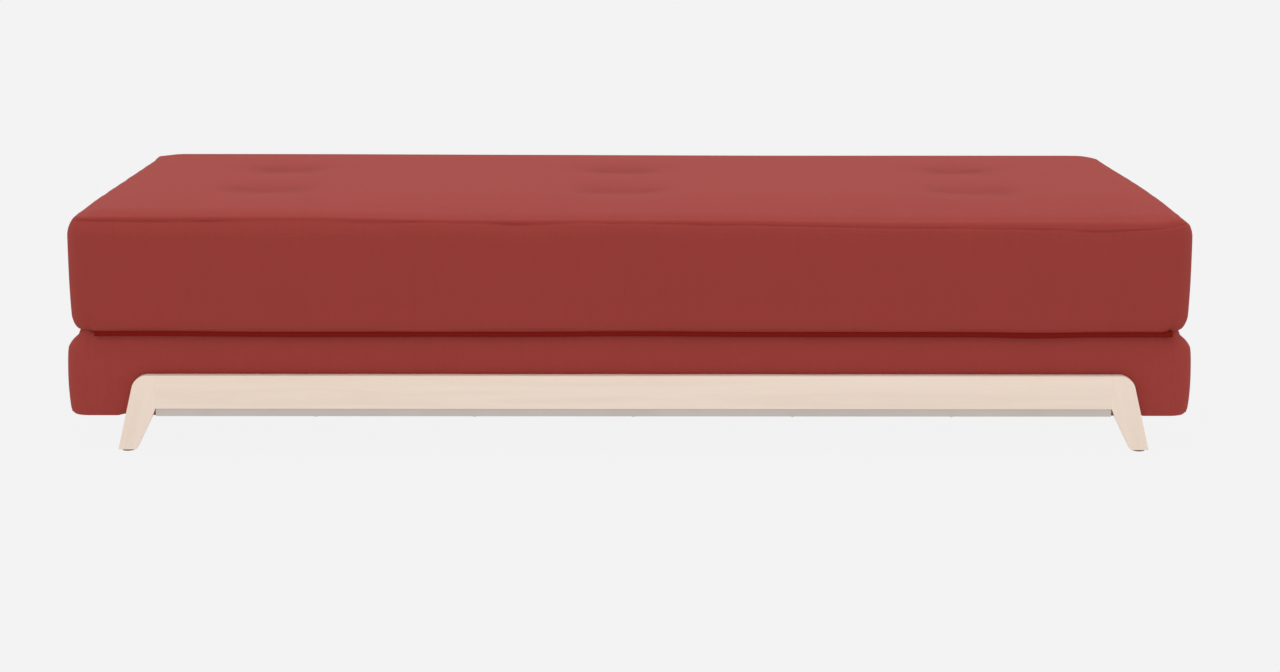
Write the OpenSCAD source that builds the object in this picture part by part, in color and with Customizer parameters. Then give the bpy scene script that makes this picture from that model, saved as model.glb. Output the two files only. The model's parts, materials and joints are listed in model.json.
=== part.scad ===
// Sofa bed: an upholstered box base on two splayed wooden leg frames, with a tufted mattress on top
// that folds forward over the front edge and lies on the floor beside the base as the second half of a bed.
// X runs along the sofa, the front faces -Y, and Z is up from the floor under the middle of the base.

/* [Overall] */
// Length of the base and the mattress
body_l = 2000; // [1700:10:2400]
// Depth of the base and the mattress, front to back
body_d = 900; // [750:10:1100]
// Height of the base's underside above the floor
underside_h = 64; // [50:1:90]
// Height of the upholstered base
base_h = 152; // [136:1:190]
// Height of the mattress from its underside to its top seam
mattress_h = 200; // [160:1:240]

/* [Upholstery] */
// Width of the rounding where the base and the mattress meet
edge_w = 24; // [18:1:30]
// Height of the rounding along the base's top edge
base_edge_h = 24; // [20:1:40]
// Height of the rounding along the mattress's bottom edge
mattress_edge_h = 16; // [10:1:30]
// Radius of the seams at each corner, seen from above
seam_corner_r = 12; // [8:1:24]
// Distance by which the mattress's top seam is pulled in from its bulging sides
top_seam_in = 8; // [3:1:12]
// Distance by which the base's lower hem is pulled in
base_hem_in = 6; // [2:1:8]
// Height of the crown above the mattress's top seam
crown_h = 13; // [8:1:24]
// Distance over which the crown rises from the seam
crown_run = 80; // [60:5:180]
// Thickness of the wadding at the mattress's sides
side_wad = 18; // [14:1:24]
// Thickness of the wadding under the mattress's top seam
top_wad = 10; // [6:1:16]
// Thickness of the wadding under the mattress
under_wad = 8; // [6:1:14]
// Thickness of the padding on the base's ends
end_pad = 20; // [16:1:26]
// Thickness of the padding on the base's front and back
front_pad = 16; // [13:1:22]
// Thickness of the quilting on the base's top
deck_wad = 11; // [8:1:16]
// Width of the cover that is turned in under the base
hem_w = 14; // [8:1:16]
// Thickness of the turned-in hem
hem_t = 1.2; // [0.8:0.1:2]
// Thickness of the dust cloth under the base
dust_t = 0.7; // [0.5:0.1:1.5]

/* [Tufts] */
// Number of tufts along the mattress
tuft_cols = 3; // [2:1:4]
// Number of tufts across the mattress
tuft_rows = 2; // [1:1:3]
// Distance by which the tufts stand left of the mattress's middle
tuft_left = 26; // [0:1:40]
// Depth of each tuft below the crown
tuft_dip = 11; // [8:1:20]
// Reach of each tuft's dimple along the mattress
tuft_reach_l = 95; // [75:1:120]
// Reach of each tuft's dimple across the mattress
tuft_reach_d = 80; // [75:1:110]
// Radius of the covered buttons
button_r = 12; // [8:0.5:15]
// Height of the covered buttons
button_h = 4; // [3:0.5:10]
// Radius of the tufting twine
twine_r = 1.2; // [0.8:0.1:2]
// Radius of the felt washers that hold the twine underneath
anchor_r = 12; // [8:0.5:16]
// Thickness of those washers
anchor_t = 2.4; // [1.5:0.1:4]

/* [Leg frames] */
// Height of the rails
rail_h = 60; // [48:1:72]
// Thickness of the rails and legs
rail_t = 26; // [20:1:34]
// Depth by which the frames press into the padding
rail_recess = 10; // [6:1:12]
// Distance from the end of the base to the outside of each foot
foot_inset = 75; // [55:1:120]
// Width of each foot on the floor
foot_w = 32; // [26:1:44]
// Width of each leg where it meets the rail
shoulder_w = 36; // [32:1:52]
// Distance by which each foot stands outside its shoulder
leg_splay = 33; // [15:1:45]
// Radius of the rounded shoulders
shoulder_r = 28; // [16:1:34]
// Thickness of the felt glides
glide_t = 3; // [2:0.5:5]
// Radius of the felt glides
glide_r = 11; // [8:0.5:13]
// Height of the steel stiffeners under the rails
stiffener_h = 14; // [10:1:20]
// Width of the steel stiffeners
stiffener_w = 20; // [14:1:22]
// Wall of the steel stiffeners
stiffener_wall = 1.5; // [1:0.1:2.5]

/* [Box] */
// Height of the box boards
board_h = 94; // [80:1:110]
// Thickness of the box boards
board_t = 18; // [15:1:24]
// Number of cross rails between the front and back boards
cross_n = 3; // [1:1:5]
// Thickness of the cross rails
cross_t = 22; // [18:1:30]
// Width of the corner blocks along each board
block_w = 36; // [24:1:50]

/* [Slats] */
// Number of sprung slats
slat_n = 15; // [10:1:16]
// Width of each slat
slat_w = 53; // [40:1:60]
// Thickness of each slat
slat_t = 8; // [6:0.5:10]
// Rise of each slat at its middle
slat_bow = 11; // [5:0.5:14]
// Length of each slat's end that sits in its holder
slat_tang = 22; // [16:1:30]
// Wall of the slat holders
holder_wall = 3.5; // [2.5:0.5:5]
// Radius of the pegs that plug the holders into the boards
peg_r = 4; // [3:0.5:5]
// Length of those pegs
peg_l = 11; // [8:1:13]

/* [Fold] */
// Clearance between the folded-out mattress and the front rail
fold_clear = 2; // [1:0.5:6]
// Clearance between the base and the mattress that rests on it
rest_gap = 0.3; // [0.2:0.1:0.8]
// Thickness of the cloth hinge
leaf_t = 1.2; // [0.8:0.1:2]
// Distance by which the cloth hinge stops short of the rounded corners
leaf_end = 2; // [0:1:60]
// Width by which the cloth hinge is sewn on behind the seam
leaf_seam_w = 12; // [8:1:20]

/* [Zip] */
// Distance from each end of the mattress to the zip in its back border
zip_end = 150; // [130:10:400]
// Width of the zip tape
tape_w = 30; // [24:1:36]
// Thickness of the zip tape
tape_t = 1.2; // [0.8:0.1:1.6]
// Depth at which the zip tape is let into the border
tape_recess = 1.8; // [1.5:0.1:2.4]
// Width of the zip coil
coil_w = 5; // [4:0.5:7]
// Height of the zip coil
coil_h = 1.8; // [1.4:0.1:2.6]
// Length of the zip slider
slider_l = 16; // [12:1:22]
// Width of the zip slider
slider_w = 11; // [9:0.5:14]
// Height of the zip slider's roof over the coil
slider_roof = 2; // [1.5:0.1:3]
// Length of the zip pull
pull_l = 28; // [20:1:40]
// Width of the zip pull
pull_w = 7; // [5:0.5:9]
// Thickness of the zip pull
pull_t = 1.4; // [1:0.1:2]
// Radius of the bar that carries the pull
bail_r = 0.8; // [0.6:0.1:1]

/* [Fasteners] */
// Radius of the frame bolts
bolt_r = 4; // [3:0.5:5]
// Depth to which the frame bolts enter the wood
bolt_grip = 14; // [10:1:16]
// Distance of the inner frame bolts from the outermost cross rails
bolt_beside = 90; // [40:5:140]
// Radius of the bolt heads
bolt_head_r = 6.5; // [5:0.5:8]
// Height of the bolt heads
bolt_head_h = 8; // [5:0.5:10]
// Radius of the hexagon sockets in the bolt heads
bolt_socket_r = 3.4; // [2.5:0.1:4]
// Radius of the washers under the bolt heads
washer_r = 9; // [8.5:0.5:12]
// Thickness of those washers
washer_t = 1.6; // [1:0.1:2.5]
// Radius of the threaded inserts
insert_r = 6; // [5.5:0.1:7]
// Radius of the dowels between rails and legs
dowel_r = 4.5; // [3.5:0.5:5]
// Length of each dowel
dowel_l = 40; // [30:1:44]
// Radius of the screws in the box
screw_r = 2.2; // [1.8:0.1:3]
// Length of those screws
screw_l = 48; // [36:1:60]
// Radius of the screw heads
screw_head_r = 4.4; // [3.5:0.1:5.5]
// Height of the screw heads
screw_head_h = 2.6; // [2:0.1:3.5]
// Length of the stiffener screws
stiffener_screw_l = 32; // [26:1:36]
// Number of screws in each stiffener
stiffener_screw_n = 5; // [3:1:9]

/* [Hidden] */
$fn = 48;
fit = 0.3;            // clearance between a soft piece and what it encloses
wood_fit = 0.4;       // clearance between a leg frame and the padding it presses into
pin_fit = 0.05;       // radial clearance of pins, screws and pegs in their holes
over = 5;             // overrun of every cut past the face it leaves through
run_gap = 0.4;        // clearance of the zip slider over the zip, and of the pull in the slider
corner_steps = 3;     // facets round each upholstered corner
edge_round_n = 2;     // facets over the mattress's bottom edge
side_round_n = 4;     // facets up the mattress's side
base_side_n = 4;      // facets up the base's side
base_round_n = 4;     // facets over the base's top edge
slat_facets = 10;     // facets along each slat's bow
shoulder_facets = 6;  // facets round the recess for each shoulder
rim_in = 6;           // width of the first facet inside the mattress's top seam
edge_stand = 2;       // inset at which a rounded edge runs into the bulging side
slat_side = 0.3;      // clearance round a slat in its holder
holder_gap = 8;       // free height between the cross rails and the slat holders
slot_h = 4;           // height of the slot that the zip closes
post_t = 1.6;         // thickness of the posts at each end of the pull's bar
eye_wall = 1.2;       // wall of the pull's eye
screw_margin = 16;    // distance of the outermost box screws from a board's edge
pan_share = 0.7;      // radius of a pan head's outer face as a share of the head's radius
foot_back = 2;        // distance of each stiffener behind the front of its rail
tuft_shares = [-1, -0.6, -0.2, 0.2, 0.6, 1]; // facet lines across a dimple, as shares of its reach
crowding_share = 1.6; // power by which the mattress's facet lines crowd towards its edges

// Heights
seam_z = underside_h + base_h;
cover_z = underside_h + dust_t + fit;
box_z = cover_z + hem_t + fit;
box_top_z = box_z + board_h;
deck_z = seam_z - rest_gap / 2;
foam_top_z = deck_z - deck_wad - fit;
rail_z = underside_h + stiffener_h;
rail_top_z = rail_z + rail_h;
rail_mid_z = rail_z + rail_h / 2;
slat_z = box_top_z - slat_bow - slat_t - fit;
holder_z = slat_z - slat_side - holder_wall;
holder_h = slat_t + 2 * slat_side + 2 * holder_wall;
cross_h = holder_z - holder_gap - box_z;
under_z = seam_z + rest_gap / 2;
top_seam_z = seam_z + mattress_h;
core_z = under_z + under_wad;
core_top_z = top_seam_z - top_wad;
dimple_z = top_seam_z + crown_h - tuft_dip;
side_mid_z = (under_z + mattress_edge_h + top_seam_z) / 2;

// Plan sizes
corner_r = edge_w + seam_corner_r;
half_l = body_l / 2;
half_d = body_d / 2;
inner_l = half_l - corner_r;
inner_d = half_d - corner_r;
box_l = body_l - 2 * end_pad;
box_d = body_d - 2 * front_pad;
rail_y = half_d - rail_recess;
rail_front = rail_y + rail_t;
joint_x = half_l - foot_inset - leg_splay - shoulder_w;
shoulder_x = joint_x + shoulder_w;
foot_out = half_l - foot_inset;
foot_in = foot_out - foot_w;
leg_bolt_x = joint_x + shoulder_w / 2;
hinge_y = -(half_d + rail_front + fold_clear) / 2;
leaf_root = half_d - edge_w - leaf_seam_w;
leaf_l = 2 * (inner_l - leaf_end);
slat_pitch = (box_l - 2 * board_t) / slat_n;
slat_half = box_d / 2 - board_t - pin_fit;
cross_pitch = box_l / (cross_n + 1);
bolt_x = box_l / 2 - cross_pitch - bolt_beside;
zip_l = body_l - 2 * zip_end;
tape_y = half_d - tape_recess;
slider_y = tape_y + tape_t + run_gap;
slider_t = coil_h + slider_roof;
bail_y = slider_y + slider_t + bail_r + eye_wall + run_gap;
slider_x = zip_l / 2 - 2 * slider_l;

cloth = "firebrick";
timber = "wheat";
foam = "lightyellow";
steel = "silver";

SLATS = [for (i = [1 : slat_n]) str("slat_", i)];
CROSS_RAILS = [for (i = [1 : cross_n]) str("cross_rail_", i)];

// Shared shapes

// A block centred in X and Y that stands on z = 0
module block(l, d, h) {
    translate([-l / 2, -d / 2, 0]) cube([l, d, h]);
}

// A block with upright edges of radius r
module round_block(l, d, h, r) {
    linear_extrude(h) {
        square([l - 2 * r, d], center = true);
        square([l, d - 2 * r], center = true);
        for (x = [-1, 1], y = [-1, 1]) translate([x * (l / 2 - r), y * (d / 2 - r)]) circle(r);
    }
}

// A cylinder along Y that starts at y and runs back by l
module rod_y(x, y, z, r, l) {
    translate([x, y, z]) rotate([-90, 0, 0]) cylinder(h = l, r = r);
}

// A cylinder along X that starts at x and runs right by l
module rod_x(x, y, z, r, l) {
    translate([x, y, z]) rotate([0, 90, 0]) cylinder(h = l, r = r);
}

// Front and back copies of what is drawn at the front
module both_sides() {
    children();
    mirror([0, 1, 0]) children();
}

// Cushion forms: rings that are offsets of one inner rectangle, closed over the top by a grid

function reversed(list) = [for (i = [len(list) - 1 : -1 : 0]) list[i]];

function between(a, b, n, power = 1) = [for (k = [1 : n]) a + (b - a) * pow(k / (n + 1), power)];

// Grid lines from -half to half, dense over each dimple centre and towards both ends
function grid_lines(half, centres, reach, ends, gaps) = concat(
    [-half],
    between(-half, centres[0] - reach, ends, crowding_share),
    [for (i = [0 : len(centres) - 1]) each concat(
        [for (s = tuft_shares) centres[i] + s * reach],
        i < len(centres) - 1 ? between(centres[i] + reach, centres[i + 1] - reach, gaps) : []
    )],
    reversed(between(half, centres[len(centres) - 1] + reach, ends, crowding_share)),
    [half]
);

function corner_arc(x, y, r, a) =
    [for (k = [1 : corner_steps - 1]) let (t = a + 90 * k / corner_steps) [x + r * cos(t), y + r * sin(t)]];

// The outline at a distance r outside the inner rectangle, anticlockwise from its front left
function ring(xs, ys, r) = concat(
    [for (x = xs) [x, -inner_d - r]],
    corner_arc(inner_l, -inner_d, r, -90),
    [for (y = ys) [inner_l + r, y]],
    corner_arc(inner_l, inner_d, r, 0),
    [for (x = reversed(xs)) [x, inner_d + r]],
    corner_arc(-inner_l, inner_d, r, 90),
    [for (y = reversed(ys)) [-inner_l - r, y]],
    corner_arc(-inner_l, -inner_d, r, 180)
);

// The grid point that each point of a ring is joined to
function rim(nx, ny) = let (turn = [for (k = [1 : corner_steps - 1]) 0], last = (ny - 1) * nx) concat(
    [for (i = [0 : nx - 1]) i],
    [for (k = turn) nx - 1],
    [for (j = [0 : ny - 1]) nx - 1 + j * nx],
    [for (k = turn) nx - 1 + last],
    [for (i = [nx - 1 : -1 : 0]) i + last],
    [for (k = turn) last],
    [for (j = [ny - 1 : -1 : 0]) j * nx],
    [for (k = turn) 0]
);

// A closed form from rings of [inset, height], bottom first, under a top surface given as a function.
// A ring with no height lies on the top surface.
module cushion(xs, ys, rings, top) {
    nx = len(xs);
    ny = len(ys);
    around = len(ring(xs, ys, 1));
    shell = [
        for (g = rings) for (p = ring(xs, ys, corner_r - g[0]))
            [p.x, p.y, is_undef(g[1]) ? top(p.x, p.y) : g[1]]
    ];
    grid = [for (y = ys) for (x = xs) [x, y, top(x, y)]];
    grid_start = len(shell);
    middle = grid_start + len(grid);
    edge = rim(nx, ny);
    last_ring = (len(rings) - 1) * around;
    bottom_faces = [for (i = [0 : around - 1]) [middle, i, (i + 1) % around]];
    side_faces = [
        for (g = [0 : len(rings) - 2], i = [0 : around - 1])
            let (a = g * around + i, b = g * around + (i + 1) % around)
                each [[a, a + around, b + around], [a, b + around, b]]
    ];
    rim_faces = [
        for (i = [0 : around - 1])
            let (j = (i + 1) % around, a = grid_start + edge[i], b = grid_start + edge[j])
                each concat(a == b ? [] : [[last_ring + i, a, b]], [[last_ring + i, b, last_ring + j]])
    ];
    top_faces = [
        for (j = [0 : ny - 2], i = [0 : nx - 2])
            let (a = grid_start + j * nx + i)
                each [[a, a + nx, a + nx + 1], [a, a + nx + 1, a + 1]]
    ];
    polyhedron(
        points = concat(shell, grid, [[0, 0, rings[0][1]]]),
        faces = concat(bottom_faces, side_faces, rim_faces, top_faces)
    );
}

// Mattress form

tuft_xs = [for (i = [0 : tuft_cols - 1]) (i - (tuft_cols - 1) / 2) * body_l / tuft_cols - tuft_left];
tuft_ys = [for (j = [0 : tuft_rows - 1]) (j - (tuft_rows - 1) / 2) * body_d / (tuft_rows + 1)];
flat_share = tuft_shares[3] * sqrt(2); // share of the reach that a dimple's flat floor takes

function rise(u) = 1 - pow(1 - min(max(u, 0) / crown_run, 1), 2);

function crown(x, y) = crown_h * rise(half_l - top_seam_in - abs(x)) * rise(half_d - top_seam_in - abs(y));

function dip(x, y) = let (
    rho = norm([x / tuft_reach_l, y / tuft_reach_d]),
    share = min(max((rho - flat_share) / (1 - flat_share), 0), 1)
) tuft_dip * (1 + cos(180 * share)) / 2;

function total(list, i = 0) = i == len(list) ? 0 : list[i] + total(list, i + 1);

function mattress_top(x, y) =
    top_seam_z + crown(x, y) - total([for (tx = tuft_xs, ty = tuft_ys) dip(x - tx, y - ty)]);

mattress_edge_rings = [
    for (i = [0 : edge_round_n]) let (a = 90 * i / edge_round_n)
        [edge_w - (edge_w - edge_stand) * sin(a), under_z + mattress_edge_h * (1 - cos(a))]
];
mattress_side_rings = [
    for (i = [1 : side_round_n]) let (t = i / side_round_n, pull = t < 1 / 2 ? edge_stand : top_seam_in)
        [pull * pow(2 * t - 1, 2), under_z + mattress_edge_h + t * (top_seam_z - under_z - mattress_edge_h)]
];

module mattress_form() {
    cushion(
        grid_lines(inner_l, tuft_xs, tuft_reach_l, 2, 1),
        grid_lines(inner_d, tuft_ys, tuft_reach_d, 1, 1),
        concat(mattress_edge_rings, mattress_side_rings, [[top_seam_in + rim_in, undef]]),
        function(x, y) mattress_top(x, y)
    );
}

module at_tufts() {
    for (x = tuft_xs, y = tuft_ys) translate([x, y, 0]) children();
}

// Base form

base_side_h = deck_z - base_edge_h - cover_z;
base_side_rings = [
    for (i = [0 : base_side_n]) let (t = i / base_side_n, pull = t < 1 / 2 ? base_hem_in : edge_stand)
        [pull * pow(2 * t - 1, 2), cover_z + t * base_side_h]
];
base_edge_rings = [
    for (i = [1 : base_round_n]) let (a = 90 * i / base_round_n)
        [edge_w - (edge_w - edge_stand) * cos(a), deck_z - base_edge_h * (1 - sin(a))]
];

module base_form() {
    cushion(
        [-inner_l, inner_l],
        [-inner_d, inner_d],
        concat(base_side_rings, base_edge_rings),
        function(x, y) deck_z
    );
}

// Leg frames. Outlines are drawn in X and Z and extruded back along Y.

splay_a = atan(leg_splay / (rail_top_z - glide_t));
shoulder_cx = shoulder_x - shoulder_r * (1 - sin(splay_a)) / cos(splay_a);
shoulder_cz = rail_top_z - shoulder_r;

function shoulder_point(a, r) = [shoulder_cx + r * cos(a), shoulder_cz + r * sin(a)];

// A shape drawn in X and Z, from the back of a front frame to its front
module frame_plate() {
    translate([0, -rail_y, 0]) rotate([90, 0, 0]) linear_extrude(rail_t) children();
}

module leg_outline() {
    difference() {
        polygon([
            [joint_x, rail_top_z], [shoulder_x, rail_top_z], [foot_out, glide_t],
            [foot_in, glide_t], [joint_x, rail_z]
        ]);
        difference() {
            polygon([
                [shoulder_cx, shoulder_cz], [shoulder_cx, rail_top_z + over],
                [shoulder_x + over, rail_top_z + over], shoulder_point(splay_a, shoulder_r + over)
            ]);
            translate([shoulder_cx, shoulder_cz]) circle(shoulder_r);
        }
    }
}

// The whole frame's outline, grown by the clearance, for the recess in the padding
module recess_outline() {
    shoulder = [
        for (k = [0 : shoulder_facets])
            shoulder_point(splay_a + (90 - splay_a) * k / shoulder_facets, shoulder_r + wood_fit)
    ];
    low = underside_h - over;
    low_x = foot_out + wood_fit - (low - glide_t) * tan(splay_a);
    right = concat([[low_x, low]], shoulder);
    polygon(concat(right, [for (p = reversed(right)) [-p.x, p.y]]));
}

module front_dowels(grow = 0) {
    for (side = [-1, 1], z = [-1, 1])
        rod_x(
            side * joint_x - dowel_l / 2 - grow, -rail_y - rail_t / 2, rail_mid_z + z * rail_h / 4,
            dowel_r + grow, dowel_l + 2 * grow
        );
}

module at_frame_bolts() {
    for (x = [-leg_bolt_x, -bolt_x, bolt_x, leg_bolt_x]) translate([x, 0, rail_mid_z]) children();
}

module insert_seats() {
    at_frame_bolts() rod_y(0, -rail_y - bolt_grip, 0, insert_r + pin_fit, bolt_grip + over);
    at_frame_bolts() rod_y(0, -rail_y - bolt_grip - fit, 0, bolt_r + pin_fit, bolt_grip);
}

module front_rail() {
    color(timber) difference() {
        frame_plate() translate([-joint_x, rail_z]) square([2 * joint_x, rail_h]);
        front_dowels(pin_fit);
        insert_seats();
        at_stiffener_screws() cylinder(h = stiffener_screw_l + pin_fit, r = screw_r + pin_fit);
    }
}

module front_right_leg() {
    color(timber) difference() {
        frame_plate() leg_outline();
        front_dowels(pin_fit);
        insert_seats();
    }
}

module leg_dowels() {
    color("tan") both_sides() front_dowels();
}

module foot_glides() {
    color("dimgray")
        for (x = [-1, 1], y = [-1, 1])
            translate([x * (foot_out + foot_in) / 2, y * (rail_y + rail_t / 2), 0])
                cylinder(h = glide_t, r = glide_r);
}

stiffener_y = -rail_front + foot_back;

// Screw places under the front stiffener, with z = 0 at the stiffener's underside
module at_stiffener_screws() {
    for (i = [1 : stiffener_screw_n])
        translate([
            -joint_x + 2 * joint_x * i / (stiffener_screw_n + 1), stiffener_y + stiffener_w / 2, underside_h
        ])
            children();
}

module front_stiffener() {
    color(steel) difference() {
        translate([-joint_x + fit, stiffener_y, underside_h])
            cube([2 * (joint_x - fit), stiffener_w, stiffener_h]);
        translate([-joint_x - over, stiffener_y + stiffener_wall, underside_h + stiffener_wall])
            cube([2 * (joint_x + over), stiffener_w - 2 * stiffener_wall, stiffener_h - 2 * stiffener_wall]);
        at_stiffener_screws() translate([0, 0, -over])
            cylinder(h = stiffener_h + 2 * over, r = screw_r + pin_fit);
    }
}

module stiffener_screws() {
    color(steel) both_sides() at_stiffener_screws() {
        cylinder(h = stiffener_screw_l, r = screw_r);
        translate([0, 0, -screw_head_h])
            cylinder(h = screw_head_h, r1 = pan_share * screw_head_r, r2 = screw_head_r);
    }
}

// Frame bolts, from inside the box through its board and the padding into the wood

washer_y = -(box_d / 2 - board_t);

module frame_bolts() {
    color(steel) both_sides() at_frame_bolts() difference() {
        union() {
            rod_y(0, -rail_y - bolt_grip, 0, bolt_r, washer_y + washer_t + rail_y + bolt_grip);
            rod_y(0, washer_y + washer_t, 0, bolt_head_r, bolt_head_h);
        }
        translate([0, washer_y + washer_t + bolt_head_h / 2, 0]) rotate([-90, 0, 0])
            cylinder(h = bolt_head_h, r = bolt_socket_r, $fn = 6);
    }
}

module bolt_washers() {
    color(steel) both_sides() at_frame_bolts() difference() {
        rod_y(0, washer_y, 0, washer_r, washer_t);
        rod_y(0, washer_y - over, 0, bolt_r + pin_fit, washer_t + 2 * over);
    }
}

module threaded_inserts() {
    color("goldenrod") both_sides() at_frame_bolts() difference() {
        rod_y(0, -rail_y - bolt_grip, 0, insert_r, bolt_grip);
        rod_y(0, -rail_y - bolt_grip - over, 0, bolt_r + pin_fit, bolt_grip + 2 * over);
    }
}

// Box

// Screws from the face of the front board into the end boards and the cross rails
module front_box_screws(grow = 0) {
    end_x = box_l / 2 - board_t / 2;
    cross_xs = [for (i = [1 : cross_n]) -box_l / 2 + i * cross_pitch];
    places = concat(
        [for (x = [-end_x, end_x], z = [screw_margin, board_h / 2, board_h - screw_margin]) [x, z]],
        [for (x = cross_xs, z = [screw_margin, cross_h - screw_margin]) [x, z]]
    );
    for (p = places) translate([p.x, -box_d / 2, box_z + p.y]) rotate([-90, 0, 0]) {
        cylinder(h = screw_l + grow, r = screw_r + grow);
        cylinder(h = screw_head_h + grow, r1 = screw_head_r + grow, r2 = screw_r + grow);
    }
}

module at_slats() {
    for (i = [0 : slat_n - 1]) translate([(i - (slat_n - 1) / 2) * slat_pitch, 0, 0]) children();
}

module front_peg(grow = 0) {
    rod_y(0, washer_y - peg_l - grow, slat_z + slat_t / 2, peg_r + grow, peg_l + 2 * grow);
}

module box_front_board() {
    color("burlywood") difference() {
        translate([-box_l / 2, -box_d / 2, box_z]) cube([box_l, board_t, board_h]);
        at_frame_bolts() rod_y(0, -half_d, 0, bolt_r + fit, half_d);
        front_box_screws(pin_fit);
        at_slats() front_peg(pin_fit);
    }
}

module box_right_board() {
    color("burlywood") difference() {
        translate([box_l / 2 - board_t, washer_y, box_z]) cube([board_t, -2 * washer_y, board_h]);
        both_sides() front_box_screws(pin_fit);
    }
}

module cross_rail(i) {
    color("burlywood") difference() {
        translate([-box_l / 2 + i * cross_pitch, 0, box_z]) block(cross_t, -2 * washer_y, cross_h);
        both_sides() front_box_screws(pin_fit);
    }
}

module corner_blocks() {
    x = box_l / 2 - board_t;
    color("burlywood")
        for (side = [0, 1]) mirror([side, 0, 0]) both_sides()
            translate([0, 0, box_z]) linear_extrude(cross_h)
                polygon([[x, washer_y], [x, washer_y + block_w], [x - block_w, washer_y]]);
}

module box_screws() {
    color(steel) both_sides() front_box_screws();
}

// Sprung slats in their holders

module slat(i) {
    free = slat_half - slat_tang;
    bow = [
        for (k = [0 : slat_facets])
            let (y = free * (2 * k / slat_facets - 1)) [y, slat_bow * (1 - pow(y / free, 2))]
    ];
    under = concat([[-slat_half, 0]], bow, [[slat_half, 0]]);
    color("navajowhite")
        translate([(i - (slat_n + 1) / 2) * slat_pitch - slat_w / 2, 0, slat_z])
            rotate([90, 0, 90]) linear_extrude(slat_w)
                polygon(concat(under, [for (p = reversed(under)) [p.x, p.y + slat_t]]));
}

module slat_holders() {
    pocket_w = slat_w + 2 * slat_side;
    color("dimgray") both_sides() at_slats() {
        difference() {
            translate([-pocket_w / 2 - holder_wall, washer_y, holder_z])
                cube([pocket_w + 2 * holder_wall, slat_tang, holder_h]);
            translate([-pocket_w / 2, washer_y + pin_fit - fit, slat_z - slat_side])
                cube([pocket_w, slat_tang + over, slat_t + 2 * slat_side]);
        }
        front_peg();
    }
}

// Upholstery of the base

module base_foam() {
    color(foam) translate([0, 0, box_top_z]) block(box_l, box_d, foam_top_z - box_top_z);
}

module leaf_rebate(z) {
    translate([-leaf_l / 2 - fit, -half_d - over, z])
        cube([leaf_l + 2 * fit, half_d + over - leaf_root + fit, leaf_t]);
}

module base_cover() {
    color(cloth) difference() {
        base_form();
        translate([0, 0, box_z - fit])
            block(box_l + 2 * fit, box_d + 2 * fit, foam_top_z - box_z + 2 * fit);
        translate([0, 0, cover_z - over])
            block(box_l - 2 * hem_w, box_d - 2 * hem_w, box_z - cover_z + over);
        both_sides() translate([0, -rail_y, 0]) rotate([90, 0, 0]) linear_extrude(half_d) recess_outline();
        both_sides() at_frame_bolts() rod_y(0, -half_d, 0, bolt_r + fit, half_d - box_d / 2 + over);
        leaf_rebate(deck_z - leaf_t);
    }
}

module dust_cloth() {
    color("darkgray") translate([0, 0, underside_h]) block(box_l - hem_w, box_d - hem_w, dust_t);
}

module hinge_leaf_lower() {
    color("maroon") translate([-leaf_l / 2, hinge_y + fit / 2, deck_z - leaf_t])
        cube([leaf_l, -leaf_root - hinge_y - fit / 2, leaf_t]);
}

// Mattress

module mattress_cover() {
    color(cloth) difference() {
        mattress_form();
        translate([0, 0, core_z - fit])
            round_block(
                body_l - 2 * side_wad + 2 * fit, body_d - 2 * side_wad + 2 * fit,
                core_top_z - core_z + 2 * fit, seam_corner_r + fit
            );
        at_tufts() translate([0, 0, under_z - over]) cylinder(h = body_d, r = twine_r + fit);
        at_tufts() translate([0, 0, under_z - over])
            cylinder(h = over + anchor_t + 2 * fit, r = anchor_r + fit);
        translate([-zip_l / 2 - fit, tape_y, side_mid_z - tape_w / 2 - fit])
            cube([zip_l + 2 * fit, body_d, tape_w + 2 * fit]);
        translate([-zip_l / 2 + slider_l, half_d - side_wad - over, side_mid_z - slot_h / 2])
            cube([zip_l - 2 * slider_l, side_wad + 2 * over, slot_h]);
        leaf_rebate(under_z);
    }
}

module mattress_core() {
    color(foam) difference() {
        translate([0, 0, core_z])
            round_block(body_l - 2 * side_wad, body_d - 2 * side_wad, core_top_z - core_z, seam_corner_r);
        at_tufts() translate([0, 0, core_z - over]) cylinder(h = mattress_h, r = twine_r + fit);
    }
}

module tuft_buttons() {
    rim_h = button_h / 3;
    dome_r = (pow(button_r, 2) + pow(button_h - rim_h, 2)) / (2 * (button_h - rim_h));
    color("maroon") at_tufts() translate([0, 0, dimple_z]) {
        cylinder(h = rim_h, r = button_r);
        intersection() {
            translate([0, 0, button_h - dome_r]) sphere(dome_r, $fn = 96);
            translate([0, 0, rim_h]) cylinder(h = button_h, r = button_r);
        }
    }
}

module tuft_twine() {
    z = under_z + fit + anchor_t;
    color("ivory") at_tufts() translate([0, 0, z]) cylinder(h = dimple_z - z, r = twine_r);
}

module tuft_anchors() {
    color("gray") at_tufts() translate([0, 0, under_z + fit]) cylinder(h = anchor_t, r = anchor_r);
}

module hinge_leaf_upper() {
    color("maroon") translate([-leaf_l / 2, hinge_y + fit / 2, under_z])
        cube([leaf_l, -leaf_root - hinge_y - fit / 2, leaf_t]);
}

// Zip in the back border

module zip_tape() {
    color("brown") {
        translate([-zip_l / 2, tape_y, side_mid_z - tape_w / 2]) cube([zip_l, tape_t, tape_w]);
        translate([-zip_l / 2, tape_y + tape_t, side_mid_z - coil_w / 2]) cube([zip_l, coil_h, coil_w]);
    }
}

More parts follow.
